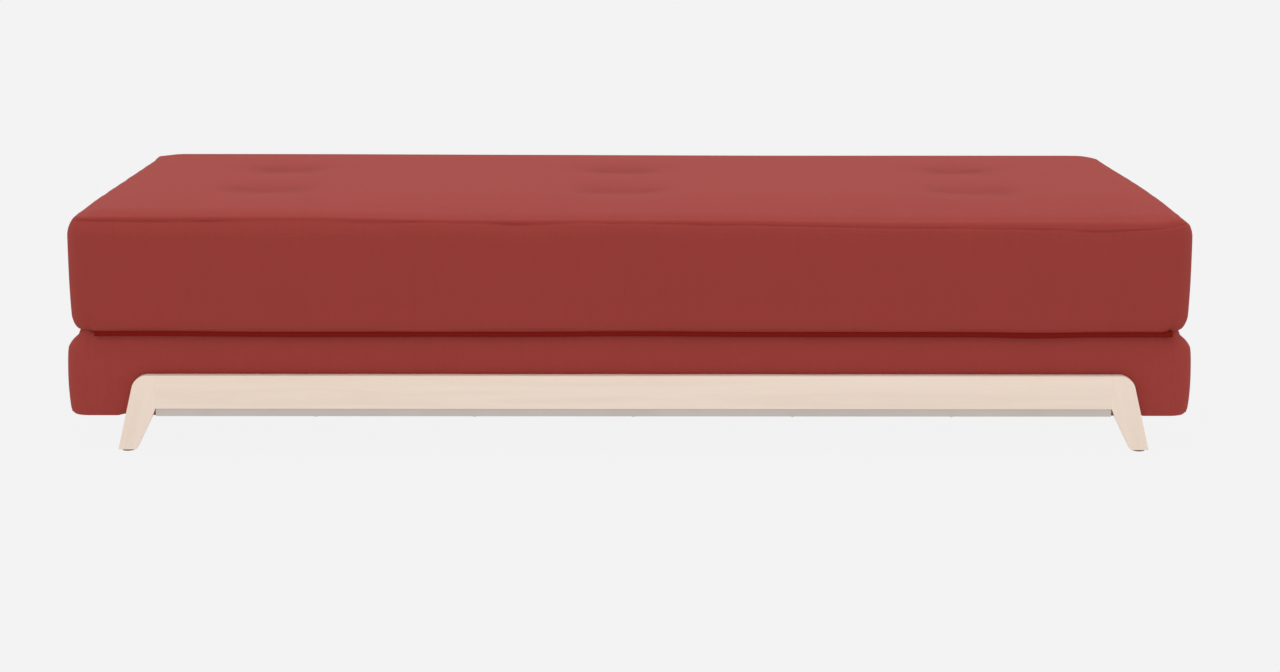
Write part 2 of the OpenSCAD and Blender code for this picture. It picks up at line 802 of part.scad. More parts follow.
module zip_slider() {
    roof_y = slider_y + slider_t;
    post_x = pull_w / 2 + run_gap;
    color(steel) translate([slider_x, 0, side_mid_z]) {
        difference() {
            translate([-slider_l / 2, slider_y, -slider_w / 2]) cube([slider_l, slider_t, slider_w]);
            translate([-slider_l, slider_y - over, -coil_w / 2 - run_gap])
                cube([2 * slider_l, over + slider_t - slider_roof, coil_w + 2 * run_gap]);
        }
        for (side = [0, 1]) mirror([side, 0, 0]) translate([post_x, 0, 0]) {
            translate([0, roof_y, -bail_r]) cube([post_t, bail_y - roof_y, 2 * bail_r]);
            rod_x(0, bail_y, 0, bail_r, post_t);
        }
        rod_x(-post_x, bail_y, 0, bail_r, 2 * post_x);
    }
}

module zip_pull() {
    hole_r = pull_w / 4;
    color(steel) translate([slider_x - pull_w / 2, bail_y, side_mid_z]) difference() {
        union() {
            rod_x(0, 0, 0, bail_r + eye_wall, pull_w);
            translate([0, -pull_t / 2, -pull_l]) cube([pull_w, pull_t, pull_l]);
        }
        rod_x(-over, 0, 0, bail_r + pin_fit, pull_w + 2 * over);
        rod_y(pull_w / 2, -over, -pull_l + 2 * hole_r, hole_r, 2 * over);
    }
}

front_rail();
mirror([1, 0, 0]) front_right_leg();  // front_left_leg
front_right_leg();
mirror([0, 1, 0]) front_rail();  // back_rail
mirror([0, 1, 0]) mirror([1, 0, 0]) front_right_leg();  // back_left_leg
mirror([0, 1, 0]) front_right_leg();  // back_right_leg
leg_dowels();
foot_glides();
front_stiffener();
mirror([0, 1, 0]) front_stiffener();  // back_stiffener
stiffener_screws();
frame_bolts();
bolt_washers();
threaded_inserts();
box_front_board();
mirror([0, 1, 0]) box_front_board();  // box_back_board
mirror([1, 0, 0]) box_right_board();  // box_left_board
box_right_board();
corner_blocks();
box_screws();
for (i = [1 : cross_n]) cross_rail(i);
for (i = [1 : slat_n]) slat(i);
slat_holders();
base_foam();
base_cover();
dust_cloth();
hinge_leaf_lower();
mattress_cover();
mattress_core();
tuft_buttons();
tuft_twine();
tuft_anchors();
zip_tape();
hinge_leaf_upper();
zip_slider();
zip_pull();
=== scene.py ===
"""Sofa bed: the looks of every piece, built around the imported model.

The mattress and the base are cloth over foam: shaped panels that a short cloth simulation eases. The rest
is wood, steel and the hidden works. Every size is in metres, in the model's own frame: X along the sofa
bed, the front faces -Y, and Z is up from the floor.
"""

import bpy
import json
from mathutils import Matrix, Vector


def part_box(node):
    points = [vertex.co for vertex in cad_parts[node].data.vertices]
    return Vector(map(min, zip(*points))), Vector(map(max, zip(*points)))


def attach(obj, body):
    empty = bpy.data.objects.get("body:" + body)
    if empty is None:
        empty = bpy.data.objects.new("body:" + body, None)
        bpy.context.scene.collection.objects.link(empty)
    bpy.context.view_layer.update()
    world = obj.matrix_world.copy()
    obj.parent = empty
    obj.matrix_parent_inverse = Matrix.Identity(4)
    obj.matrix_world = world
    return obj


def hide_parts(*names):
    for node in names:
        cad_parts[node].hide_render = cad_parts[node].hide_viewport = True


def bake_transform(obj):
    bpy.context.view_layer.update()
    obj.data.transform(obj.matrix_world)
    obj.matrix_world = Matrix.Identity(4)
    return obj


bl_info = {
    "name": "Sofa Bed",
    "version": (1, 0, 0),
    "blender": (4, 5, 0),
    "location": "3D View > Sidebar > Sofa Bed",
    "description": "Upholstery, wood, steel and studio for a folding sofa bed",
    "category": "Add Mesh",
}

import json
import math

import bmesh
import bpy
import numpy as np
from bpy.props import FloatProperty, FloatVectorProperty, PointerProperty
from mathutils import Matrix, Vector

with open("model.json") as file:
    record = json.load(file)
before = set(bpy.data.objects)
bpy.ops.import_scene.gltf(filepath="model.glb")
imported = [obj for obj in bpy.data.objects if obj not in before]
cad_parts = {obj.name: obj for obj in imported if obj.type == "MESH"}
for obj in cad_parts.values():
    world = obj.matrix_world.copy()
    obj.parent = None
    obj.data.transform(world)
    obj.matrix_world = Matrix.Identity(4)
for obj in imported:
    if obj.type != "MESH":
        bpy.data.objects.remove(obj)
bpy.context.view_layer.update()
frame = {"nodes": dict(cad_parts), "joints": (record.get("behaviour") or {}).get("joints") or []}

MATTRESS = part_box("mattress_cover")
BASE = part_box("base_cover")
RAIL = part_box("front_rail")
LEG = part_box("front_right_leg")
HINGE = Vector(next(j for j in frame["joints"] if j["name"] == "mattress_fold")["pos_m"])
SHOULDER_WIDTH, SHOULDER_RADIUS = 0.036, 0.028  # of each leg, where it meets the rail
BEHIND_EDGE = 0.03  # depth of the band along the base's front or back that counts as that side
EDGE_TURN = 0.004  # length of the mattress's profile beyond its top edge


# Sizes and colours that a user would change


def length(name, description, default):
    return FloatProperty(name=name, description=description, default=default, unit="LENGTH", precision=4)


def ratio(name, description, default):
    return FloatProperty(name=name, description=description, default=default, min=0)


def colour(name, description, default):
    return FloatVectorProperty(name=name, description=description, default=default, subtype="COLOR", size=3)


class SofaBedCushions(bpy.types.PropertyGroup):
    cell: length("Cell", "Size of the mesh's cells on the flat of a cushion", 0.0095)
    cloth_cell: length("Cloth cell", "Size of the simulated cloth's cells", 0.024)
    corner: length("Corner", "Radius of the cushions' corners, seen from above", 0.036)
    edge_in: length("Edge width", "Width of the rounding where the cushions meet", 0.0145)
    mattress_edge: length("Mattress edge", "Height of the rounding under the mattress's ends", 0.028)
    mattress_fold: length("Mattress fold", "Height of the rounding under the mattress's front", 0.010)
    base_edge: length("Base edge", "Height of the rounding on top of the base's ends", 0.034)
    base_fold: length("Base fold", "Height of the rounding on top of the base's front", 0.012)
    seam_in: length("Seam inset", "Distance by which the top seam is pulled in", 0.0125)
    bulge: length("Bulge", "Height of the border's bulge below the top seam", 0.034)
    hem_in: length("Hem inset", "Distance by which the base's hem is pulled in", 0.004)
    belly: length("Belly", "Distance by which a cushion's fullest line stands in from its box", 0.002)
    boxy: ratio("Boxy", "Power of the rounding under the mattress's front: less is boxier", 0.18)
    slack: ratio("Slack", "Power of the rounding under the mattress's ends", 1.2)
    base_boxy: ratio("Base boxy", "Power of the rounding along the base's front edge", 0.6)
    base_slack: ratio("Base slack", "Power of the rounding on top of the base's ends", 1.9)
    overhang: length("Overhang", "Distance by which the mattress's front hangs over the fold", 0.0016)
    front_out: length("Front out", "Distance by which the mattress's front stands out at the fold", 0.0045)
    base_lean: length("Base lean", "Distance by which the top of the base's front leans in", 0.003)
    hem_sag: length("Hem sag", "Distance by which the base's padding hangs below its box at the hem", 0.0046)
    wave: length("Wave", "Height of the slow wave in the line where the cushions meet", 0.0018)
    left_end: length("Left end", "Distance by which the left end's padding stands out", 0.0115)
    right_end: length("Right end", "Distance by which the right end's padding stands in", 0.002)
    back_end: length("Back end", "Distance by which the mattress's right end stands in at the back", 0.010)
    left_corner: length("Left corner", "Distance by which the mattress's back left corner is fuller", 0.010)
    slump: length("Slump", "Distance by which the mattress's back right corner has slumped", 0.007)
    base_bulge: length("Base bulge", "Distance by which the base's ends swell", 0.009)
    left_lift: length("Left lift", "Distance by which the mattress stands higher at its left", 0.0024)
    front_fall: length("Front fall", "Distance by which the front's top edge lies lower past its left", 0.007)
    seam_round: length("Seam rounding", "Height of the cloth's turn over the top edge on the left", 0.008)
    soft_round: length("Soft rounding", "Height of that turn at the right", 0.013)
    seam_drop: length("Seam drop", "Distance of the top seam below the edge on the left", 0.0050)
    seam_fall: length("Seam fall", "Distance by which the seam runs lower at the front right", 0.006)
    seam_reach: length("Seam reach", "Distance over which the seam's shadow fades", 0.0032)
    seam_depth: length("Seam depth", "Depth of the groove along the top seam", 0.0006)
    seam_width: length("Seam width", "Width of that groove", 0.0030)
    pucker: length("Pucker", "Height of the puckers along the top seam", 0.0007)
    crown: length("Crown", "Height of the crown above the top seam", 0.0105)
    crown_run: length("Crown run", "Distance over which the crown rises", 0.055)
    tuft_depth: length("Tuft depth", "Depth of the tufts below the crown", 0.0044)
    tuft_reach: length("Tuft reach", "Radius of a tuft's dimple along the mattress", 0.135)
    pinch: length("Pinch", "Distance from a tuft's middle to its deep ends", 0.040)
    fold_depth: length("Fold depth", "Depth of the folds that run out from a tuft", 0.0006)
    pressure: ratio("Pressure", "Pressure inside the simulated cloth", 0.05)
    cap: length("Cap", "Farthest that the simulation may move the cloth", 0.0012)


class SofaBedCloth(bpy.types.PropertyGroup):
    red: colour("Cloth", "Colour of the upholstery", (0.312, 0.0460, 0.0380))
    # Painted shade: this dark red is painted into the cloth along the top seam, and it gives the hinge tape
    # the dark look of the shaded crease; the zip's tape and teeth are this colour too.
    dark: colour("Seam", "Colour of the cloth hinge and inside the seams", (0.168, 0.0095, 0.0062))
    thread: length("Thread", "Distance between the threads of the cloth", 0.0011)
    thread_height: length("Thread height", "Height of the threads", 0.00022)
    slub: ratio("Slubs", "How much the slubs change the cloth's colour", 0.10)


class SofaBedWood(bpy.types.PropertyGroup):
    pale: colour("Wood", "Colour of the leg frames", (0.885, 0.745, 0.635))
    grain: colour("Grain", "Colour of the leg frames' grain", (0.775, 0.610, 0.492))
    edge: length("Edge", "Rounding of the leg frames' edges", 0.0022)


class SofaBedStudio(bpy.types.PropertyGroup):
    lens: FloatProperty(name="Lens", description="Focal length on a 36 mm sensor, in mm", default=72.08)
    camera: FloatVectorProperty(
        name="Camera",
        description="Place of the camera",
        default=(0.0116, -4.944, 1.084),
        subtype="TRANSLATION",
    )
    pitch: FloatProperty(
        name="Pitch", description="Camera's tilt below level", default=math.radians(11.03), subtype="ANGLE"
    )
    roll: FloatProperty(name="Roll", description="Camera's roll", default=math.radians(0.04), subtype="ANGLE")
    sky: ratio("Sky", "Strength of the even studio light", 0.962)
    key: ratio("Key", "Strength of the soft light from above", 0.84)
    floor: colour("Floor", "Colour of the floor", (0.0085, 0.0085, 0.0085))
    glow: ratio("Glow", "Light that comes through the floor, as on a light table", 0.884)


def settings(name):
    """A group of sizes or colours, as the user has set them."""
    return getattr(bpy.context.scene, name)


# Shader maths


def pair(operation, swapped=False):
    """A method that joins two values in one Math node."""

    def join(self, other):
        return self.math(operation, *((other, self) if swapped else (self, other)))

    return join


def alone(operation):
    """A method that passes one value through a Math node."""
    return lambda self: self.math(operation, self)


class Wire:
    """A shader socket in a Python expression. Sums and products on it add their Math nodes."""

    __add__ = __radd__ = pair("ADD")
    __sub__ = pair("SUBTRACT")
    __rsub__ = pair("SUBTRACT", swapped=True)
    __mul__ = __rmul__ = pair("MULTIPLY")
    __truediv__ = pair("DIVIDE")
    __pow__ = pair("POWER")
    __mod__ = pair("FLOORED_MODULO")
    __abs__ = alone("ABSOLUTE")
    sin = alone("SINE")
    floor = alone("FLOOR")

    def __init__(self, finish, socket):
        self.finish = finish
        self.socket = socket

    def math(self, operation, *values):
        return self.finish.node("Math", {"operation": operation}, *values)

    def clamp(self):
        return self.finish.node("Clamp", {}, self)

    def parts(self):
        """X, Y and Z of a vector."""
        made = self.finish.make("SeparateXYZ", {}, self)
        return [Wire(self.finish, s) for s in made.outputs]


class Finish:
    """A material as it is made, one node after another, around one Principled shader."""

    def __init__(self, name):
        self.material = bpy.data.materials.new(name)
        self.material.use_nodes = True
        self.tree = self.material.node_tree
        self.tree.nodes.clear()
        self.shader = self.tree.nodes.new("ShaderNodeBsdfPrincipled")
        output = self.tree.nodes.new("ShaderNodeOutputMaterial")
        self.tree.links.new(self.shader.outputs["BSDF"], output.inputs["Surface"])

    def make(self, kind, options=(), *values, **named):
        """Adds a node: its settings first, then the values or links of its sockets, by place or by name."""
        made = self.tree.nodes.new("ShaderNode" + kind)
        for key, value in dict(options).items():
            setattr(made, key, value)
        for index, value in enumerate(values):
            self.feed(made.inputs[index], value)
        for key, value in named.items():
            self.feed(made.inputs[key], value)
        return made

    def feed(self, socket, value):
        if isinstance(value, Wire):
            self.tree.links.new(value.socket, socket)
        else:
            socket.default_value = value

    def node(self, kind, options=(), *values, **named):
        return Wire(self, self.make(kind, options, *values, **named).outputs[0])

    def place(self):
        """The point on the piece, in metres."""
        return Wire(self, self.make("TexCoord").outputs["Object"])

    def cloth_place(self):
        """The point on the piece's own cloth, in metres along its two threads."""
        return self.node("UVMap", {"uv_map": "cloth"})

    def noise(self, vector, scale, detail=2.0, rough=0.5, **rest):
        """Noise at one scale, or at one for each axis."""
        if isinstance(scale, tuple):
            vector, scale = self.node("Mapping", {}, vector, Scale=scale), 1.0
        return self.node("TexNoise", {}, vector, Scale=scale, Detail=detail, Roughness=rough, **rest)

    def joined(self, x, y):
        return self.node("CombineXYZ", {}, x, y, 0.0)

    def attribute(self, name):
        return Wire(self, self.make("Attribute", {"attribute_name": name}).outputs["Fac"])

    def mixed(self, amount, first, second):
        made = self.make("Mix", {"data_type": "RGBA"})
        for index, value in ((0, amount), (6, first), (7, second)):
            self.feed(made.inputs[index], (*value, 1) if isinstance(value, tuple) else value)
        return Wire(self, made.outputs[2])

    def dressed(self, colours, rough, relief=None, **sockets):
        """The material: a mix of two colours, its roughness, and a relief's height, depth and strength."""
        sockets["Base_Color"] = self.mixed(*colours)
        sockets["Roughness"] = rough.clamp() if isinstance(rough, Wire) else rough
        if relief:
            height, depth, strength = relief
            sockets["Normal"] = self.node("Bump", {}, Height=height, Distance=depth, Strength=strength)
        for key, value in sockets.items():
            self.feed(self.shader.inputs[key.replace("_", " ")], value)
        return self.material


FINISHES = {}


def finish_of(maker, *options):
    """Each finish is made once, by its own function."""
    key = (maker.__name__, *options)
    if key not in FINISHES:
        FINISHES[key] = maker(*options)
    return FINISHES[key]


def toned(tone, amount=1):
    """A colour, darker or lighter by that factor."""
    return tuple(float(part) * amount for part in tone)


def woven(f, place, pitch):
    """Height of a plain weave, 0 to 1, and how thick each thread is where the point lies."""
    u, v, _ = place.parts()
    wander = f.noise(place, 60, 1)
    u = u / pitch + wander * 0.6
    v = v / pitch + wander * 0.5
    across = abs((u * math.pi).sin())
    along = abs((v * math.pi).sin())
    over = (u.floor() + v.floor()) % 2
    warp = across**0.6 * along**0.25
    weft = across**0.25 * along**0.6
    height = warp * over + weft * (1 - over)
    slub_u = f.noise(f.joined(u.floor() * 7.31, v * 0.035), 1.0, 2, 0.6)
    slub_v = f.noise(f.joined(u * 0.035, v.floor() * 5.17), 1.0, 2, 0.6)
    return height, slub_u, slub_v


def upholstery(seamed=True):
    """Linen-like cloth in a plain weave, with slubs along its threads, a thin dark seam of painted shadow and
    painted shade in the tufts.
    """
    cloth = settings("sofa_bed_cloth")
    f = Finish("upholstery_cloth" if seamed else "upholstery_plain")
    place = f.cloth_place()
    height, slub_u, slub_v = woven(f, place, cloth.thread)
    slubs = slub_u * 0.62 + slub_v * 0.38
    broad = f.noise(place, (9, 2.5, 1), 3, 0.55)
    streak = f.noise(place, (160, 9, 1), 3, 0.6)
    level = (slubs - 0.5) * cloth.slub * 2.4 + (height - 0.62) * 0.22 + 0.5
    level = level + (broad - 0.5) * 0.07 + (streak - 0.5) * 0.12
    relief = height + slubs * 0.7
    # Painted light: the plain copy, on the base and the buttons, is a lighter copy of the same cloth that the
    # mattress has.
    lighter = 1 if seamed else 1.055
    reds = (toned(cloth.red, 0.62 * lighter), toned(cloth.red, 1.38 * lighter))
    if seamed:
        # Painted shade: the cloth is painted darker along the top seam, and darker in and round the tufts.
        seam = f.attribute("seam_shadow")
        level = level - f.attribute("tuft_pressed") * 0.20
        colours, relief = (seam * 0.40, f.mixed(level, *reds), toned(cloth.dark)), relief - seam
    else:
        colours = (level, *reds)
    return f.dressed(
        colours,
        0.86 - height * 0.10,
        (relief, cloth.thread_height, 0.75),
        Sheen_Weight=0.03,
        Sheen_Roughness=0.5,
        Sheen_Tint=(1.0, 0.72, 0.68, 1),
        Specular_IOR_Level=0.06,
    )


def dark_cloth():
    """The same cloth as a strong dark red tape, for the fold and the zip. On the fold its dark red is partly
    painted shade, for the crease between the cushions lies in shade there.
    """
    cloth = settings("sofa_bed_cloth")
    f = Finish("dark_red_tape")
    height, slubs, _ = woven(f, f.cloth_place(), cloth.thread * 0.8)
    colours = (height * 0.6 + slubs * 0.4, toned(cloth.dark, 0.55), toned(cloth.dark, 1.5))
    return f.dressed(colours, height * 0.1 + 0.9, (height, cloth.thread_height, 0.8), Specular_IOR_Level=0.0)


def twisted(name, lean, pitch, colours, rough, depth, strength, sheen):
    """Thread or twine, laid in strands that lean across it."""
    f = Finish(name)
    x, y, z = f.place().parts()
    strands = ((x * lean[0] + y * lean[1] + z) * (2 * math.pi / pitch)).sin()
    relief = (strands, depth, strength)
    return f.dressed((strands * 0.5 + 0.5, *colours), rough, relief, Sheen_Weight=sheen)


def thread():
    """Twisted sewing thread."""
    red = settings("sofa_bed_cloth").red
    colours = (toned(red, 0.7), toned(red, 1.1))
    return twisted("sewing_thread", (1, 0.4), 0.0006, colours, 0.55, 0.00008, 0.6, 0.1)


def twine():
    """Waxed tufting twine."""
    colours = ((0.52, 0.45, 0.33), (0.78, 0.72, 0.60))
    return twisted("tufting_twine", (0.8, 0.5), 0.0032, colours, 0.7, 0.0003, 0.8, 0.2)


def ringed(figure, count):
    """Growth rings: a sawtooth folded into even waves, 0 to 1."""
    return abs(((figure * count) % 1) - 0.5) * 2


def pale_wood(name, turn):
    """Oiled pale hardwood: long fine grain with short flecks. turn lays the grain along the piece."""
    wood = settings("sofa_bed_wood")
    f = Finish(name)
    place = f.node("Mapping", {}, f.place(), Rotation=(0, turn, 0))
    rings = ringed(f.noise(place, (1.6, 14, 34), 4, 0.55, Distortion=0.35), 3.2)
    fibre = f.noise(place, (26, 420, 700), 3, 0.6)
    fleck = ((f.noise(place, (60, 500, 700), 1, 0.5) - 0.60) / 0.12).clamp()
    return f.dressed(
        (rings * 0.30 + fibre * 0.38 + fleck * 0.12, toned(wood.pale), toned(wood.grain)),
        fibre * 0.16 + 0.42,
        (fibre * 0.7 + rings * 0.3 - fleck * 0.4, 0.00014, 0.5),
        Coat_Weight=0.12,
        Coat_Roughness=0.35,
        Specular_IOR_Level=0.4,
    )


def board(name, first, second, stretch):
    """Plain wood for the hidden works, with its grain along the axis of the least stretch."""
    f = Finish(name)
    place = f.place()
    rings = ringed(f.noise(place, stretch, 4, 0.6, Distortion=0.8), 6)
    fine = f.noise(place, tuple(s * 14 for s in stretch), 2, 0.6)
    colours = (rings * 0.55 + fine * 0.45, first, second)
    return f.dressed(colours, fine * 0.2 + 0.55, (fine + rings * 0.4, 0.0002, 0.5))


def powder_coat():
    """Light grey powder coat with a faint orange peel."""
    f = Finish("grey_powder_coat")
    peel = f.noise(f.place(), 900)
    colours = (f.noise(f.place(), 12, 3, 0.6), (0.49, 0.440, 0.402), (0.57, 0.515, 0.472))
    return f.dressed(colours, peel * 0.18 + 0.40, (peel, 0.00006, 0.5), Coat_Weight=0.1)


def metal(name, tone, stretch):
    """Brushed or turned metal, with its marks along the axis of the least stretch."""
    f = Finish(name)
    marks = f.noise(f.place(), stretch, 3, 0.6)
    colours = (marks, toned(tone, 0.82), toned(tone, 1.12))
    return f.dressed(colours, marks * 0.22 + 0.26, (marks, 0.00003, 0.4), Metallic=1.0)


def felt(name, tone):
    """Pressed felt: matted short fibres."""
    f = Finish(name)
    fibres = f.noise(f.place(), 1400, 4, 0.7, Distortion=1.5)
    clumps = f.noise(f.place(), 180)
    colours = (fibres * 0.7 + clumps * 0.3, toned(tone, 0.6), toned(tone, 1.5))
    return f.dressed(colours, 0.95, (fibres + clumps, 0.0003, 0.8), Sheen_Weight=0.4, Sheen_Roughness=0.6)


def nonwoven():
    """Dust cloth: thin black fibres pressed together in a grid of small dots."""
    f = Finish("black_dust_cloth")
    place = f.cloth_place()
    u, v, _ = place.parts()
    pitch = 0.0022
    dots = ((u * (math.pi / pitch)).sin() * (v * (math.pi / pitch)).sin()) ** 2
    fibres = f.noise(place, 900, 4, 0.7, Distortion=2.0)
    colours = (fibres * 0.8 + dots * 0.2, (0.012, 0.012, 0.013), (0.060, 0.058, 0.056))
    return f.dressed(colours, 0.92 - dots * 0.25, (fibres * 0.6 - dots, 0.00015, 0.7), Sheen_Weight=0.3)


def open_foam():
    """Cut polyurethane foam: a skinless face full of small cells."""
    f = Finish("cut_foam")
    cells = f.node("TexVoronoi", {}, f.place(), Scale=700)
    tone = f.noise(f.place(), 8, 3)
    colours = (tone * 0.6 + cells * 0.4, (0.83, 0.78, 0.60), (0.70, 0.62, 0.42))
    return f.dressed(colours, 0.95, (cells, 0.0006, 0.8))


def black_plastic():
    """Moulded polypropylene with a fine spark texture."""
    f = Finish("black_moulded_plastic")
    grain = f.noise(f.place(), 2200)
    colours = (f.noise(f.place(), 40), (0.018, 0.018, 0.019), (0.034, 0.034, 0.036))
    return f.dressed(colours, grain * 0.2 + 0.42, (grain, 0.00005, 0.6))


def studio_floor():
    """Seamless paper: an even pale sweep."""
    studio = settings("sofa_bed_studio")
    f = Finish("pale_sweep")
    return f.dressed(
        (f.noise(f.place(), 30), toned(studio.floor, 0.997), toned(studio.floor, 1.003)),
        0.95,
        Specular_IOR_Level=0.0,
        Emission_Color=(1, 1, 1, 1),
        Emission_Strength=studio.glow,
    )


# Meshes


def smoothed(obj, degrees):
    """Shades a piece smooth, but for edges sharper than that."""
    obj.data.shade_smooth()
    obj.data.set_sharp_from_angle(angle=math.radians(degrees))
    return obj


def piece(name, mesh, material, smooth=None):
    """A finished mesh as an object at the origin."""
    mesh.name = name
    obj = bpy.data.objects.new(name, mesh)
    bpy.context.scene.collection.objects.link(obj)
    mesh.materials.clear()
    mesh.materials.append(material)
    return smoothed(obj, smooth) if smooth else obj


def hand_over(obj, slot, body, *nodes):
    """Hides the nodes whose place a piece takes, and hangs the piece on the body that carries it. slot is not
    used.
    """
    if nodes:
        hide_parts(*nodes)
    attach(obj, body)


def baked(obj):
    """The object with its modifiers turned into a plain mesh."""
    graph = bpy.context.evaluated_depsgraph_get()
    mesh = bpy.data.meshes.new_from_object(obj.evaluated_get(graph))
    old = obj.data
    obj.modifiers.clear()
    obj.data = mesh
    mesh.name = obj.name
    bpy.data.meshes.remove(old)
    return obj


def closed_mesh(name, points, faces, axes=None, places=None):
    """A mesh with its faces turned outwards, and a cloth map from two axes of its points or from a list."""
    mesh = bpy.data.meshes.new(name)
    mesh.from_pydata(points, [], faces)
    if places:
        mesh.uv_layers.new(name="cloth").data.foreach_set("uv", np.array(places, np.float32).ravel())
    bm = bmesh.new()
    bm.from_mesh(mesh)
    bmesh.ops.recalc_face_normals(bm, faces=bm.faces)
    if axes:
        cloth = bm.loops.layers.uv.new("cloth")
        for face in bm.faces:
            for loop in face.loops:
                loop[cloth].uv = [loop.vert.co[axis] for axis in axes]
    bm.to_mesh(mesh)
    bm.free()
    return mesh


def tube_faces(count, n):
    """The faces of a closed tube: count rings of n points each, with a cap on either end."""
    faces = []
    for i in range(0, (count - 1) * n, n):
        faces += [(i + j, i + (j + 1) % n, i + n + (j + 1) % n, i + n + j) for j in range(n)]
    return [*faces, tuple(reversed(range(n))), tuple((count - 1) * n + j for j in range(n))]


def ripple(place, wavelength, seed, octaves=4):
    """A smooth wander from about -1 to 1 along a line, the same every time for the same seed."""
    drawn = np.random.default_rng(seed)
    total = np.zeros_like(place, dtype=float)
    for i in range(octaves):
        wave = wavelength * drawn.uniform(0.45, 1.6)
        total += drawn.uniform(0.5, 1.0) * np.sin(2 * math.pi * place / wave + drawn.uniform(0, 2 * math.pi))
    return total / math.sqrt(octaves)


def ease(t):
    """0 up to 0 and 1 from 1 on, with a smooth rise between."""
    t = np.clip(t, 0, 1)
    return t * t * (3 - 2 * t)


def bump(away, width, power=2):
    """1 in the middle, falling off smoothly over that width."""
    return np.exp(-((away / width) ** power))


class Lines:
    """Grid lines across a pad. core is the place in the straight stretch, and turn the share of a corner."""

    def __init__(self, core, turns, radius):
        self.core = np.concatenate([np.full(turns, core[0]), core, np.full(turns, core[-1])])
        ramp = np.arange(1, turns + 1) / turns
        self.turn = np.concatenate([-ramp[::-1], np.zeros(len(core)), ramp])
        self.along = self.core + self.turn * radius


def spline_weights(knots, places):
    """Weights that carry values at the knots to other places along a smooth curve."""
    weights = np.zeros((len(places), len(knots)))
    last = len(knots) - 1
    for row, place in enumerate(places):
        i = int(np.clip(np.searchsorted(knots, place, side="right") - 1, 0, last - 1))
        span = knots[i + 1] - knots[i]
        t = (place - knots[i]) / span
        weights[row, i] += 2 * t**3 - 3 * t**2 + 1
        weights[row, i + 1] += 3 * t**2 - 2 * t**3
        for end, slope in ((i, t**3 - 2 * t**2 + t), (i + 1, t**3 - t**2)):
            low, high = max(end - 1, 0), min(end + 1, last)
            reach = span / (knots[high] - knots[low])
            weights[row, high] += slope * reach
            weights[row, low] -= slope * reach
    return weights


class Pad:
    """A box-shaped cushion in six panels that share their edges.

    profile is the cushion's side, from its bottom edge to its top: rows of inset and height. top(x, y) gives
    the height of the top panel.
    """

    def __init__(self, box, radius, profile, top):
        low, high = box
        self.radius = radius
        self.core = np.array([high[0] - radius, (high[1] - low[1]) / 2 - radius])
        self.profile = profile
        self.top = top

    def lines(self, cell, turns):
        counts = [max(2, round(2 * half / cell) + 1) for half in self.core]
        return [Lines(np.linspace(-h, h, n), turns, self.radius) for h, n in zip(self.core, counts)]

    def plan(self, ax, tx, ay, ty, radius):
        """Where a grid point lies, seen from above, on a ring of that corner radius."""
        return ax + tx * radius * np.sqrt(1 - ty**2 / 2), ay + ty * radius * np.sqrt(1 - tx**2 / 2)

    def inset(self, x, y, radius):
        """Distance in from a rounded outline with that corner radius."""
        out = np.maximum(np.abs([x, y]) - self.core[:, None, None], 0)
        inner = np.minimum(np.maximum(np.abs(x) - self.core[0], np.abs(y) - self.core[1]), 0)
        return radius - np.hypot(*out) - inner

    def panels(self, xs, ys, rows):
        """The points of the six panels, as arrays over the grid lines."""
        made = {}
        for name, level in (("bottom", rows[0]), ("top", rows[-1])):
            ends = (xs.core[:, None], xs.turn[:, None], ys.core[None, :], ys.turn[None, :])
            x, y = self.plan(*ends, self.radius - level[0])
            z = np.full_like(x, level[1]) if name == "bottom" else self.top(x, y)
            made[name] = np.stack([x, y, z], -1)
        radii = self.radius - rows[None, :, 0]
        share = ease((travel(rows) - travel(rows)[-1] + 0.012) / 0.012)
        for name, lines, across, sign in (
            ("front", xs, False, -1),
            ("back", xs, False, 1),
            ("left", ys, True, -1),
            ("right", ys, True, 1),
        ):
            run = (lines.core[:, None], lines.turn[:, None])
            edge = np.full((1, 1), float(sign))
            if across:
                x, y = self.plan(self.core[0] * edge, edge, *run, radii)
            else:
                x, y = self.plan(*run, self.core[1] * edge, edge, radii)
            x, y = np.broadcast_arrays(x, y)
            z = rows[:, 1] + share * (self.top(x, y) - rows[-1, 1])
            z[:, -1] = self.top(x[:, -1], y[:, -1])
            made[name] = np.stack([x, y, z], -1)
        return made


def travel(rows):
    """Distance along a profile, from its bottom."""
    steps = np.hypot(*np.diff(rows, axis=0).T)
    return np.concatenate([[0], np.cumsum(steps)])


def resample(rows, places):
    """The profile's points at given distances along it."""
    along = travel(rows)
    return np.stack([np.interp(places, along, rows[:, i]) for i in range(2)], -1)


def panel_faces(shape, start, flip):
    """The quads of a grid of points, the first of which has the number start."""
    na, nb = shape
    i, j = np.meshgrid(np.arange(na - 1), np.arange(nb - 1), indexing="ij")
    a = (start + i * nb + j).ravel()
    quads = np.stack([a, a + nb, a + nb + 1, a + 1], -1)
    return quads[:, ::-1] if flip else quads


FLIPPED = {"bottom": True, "top": False, "front": False, "back": True, "left": True, "right": False}


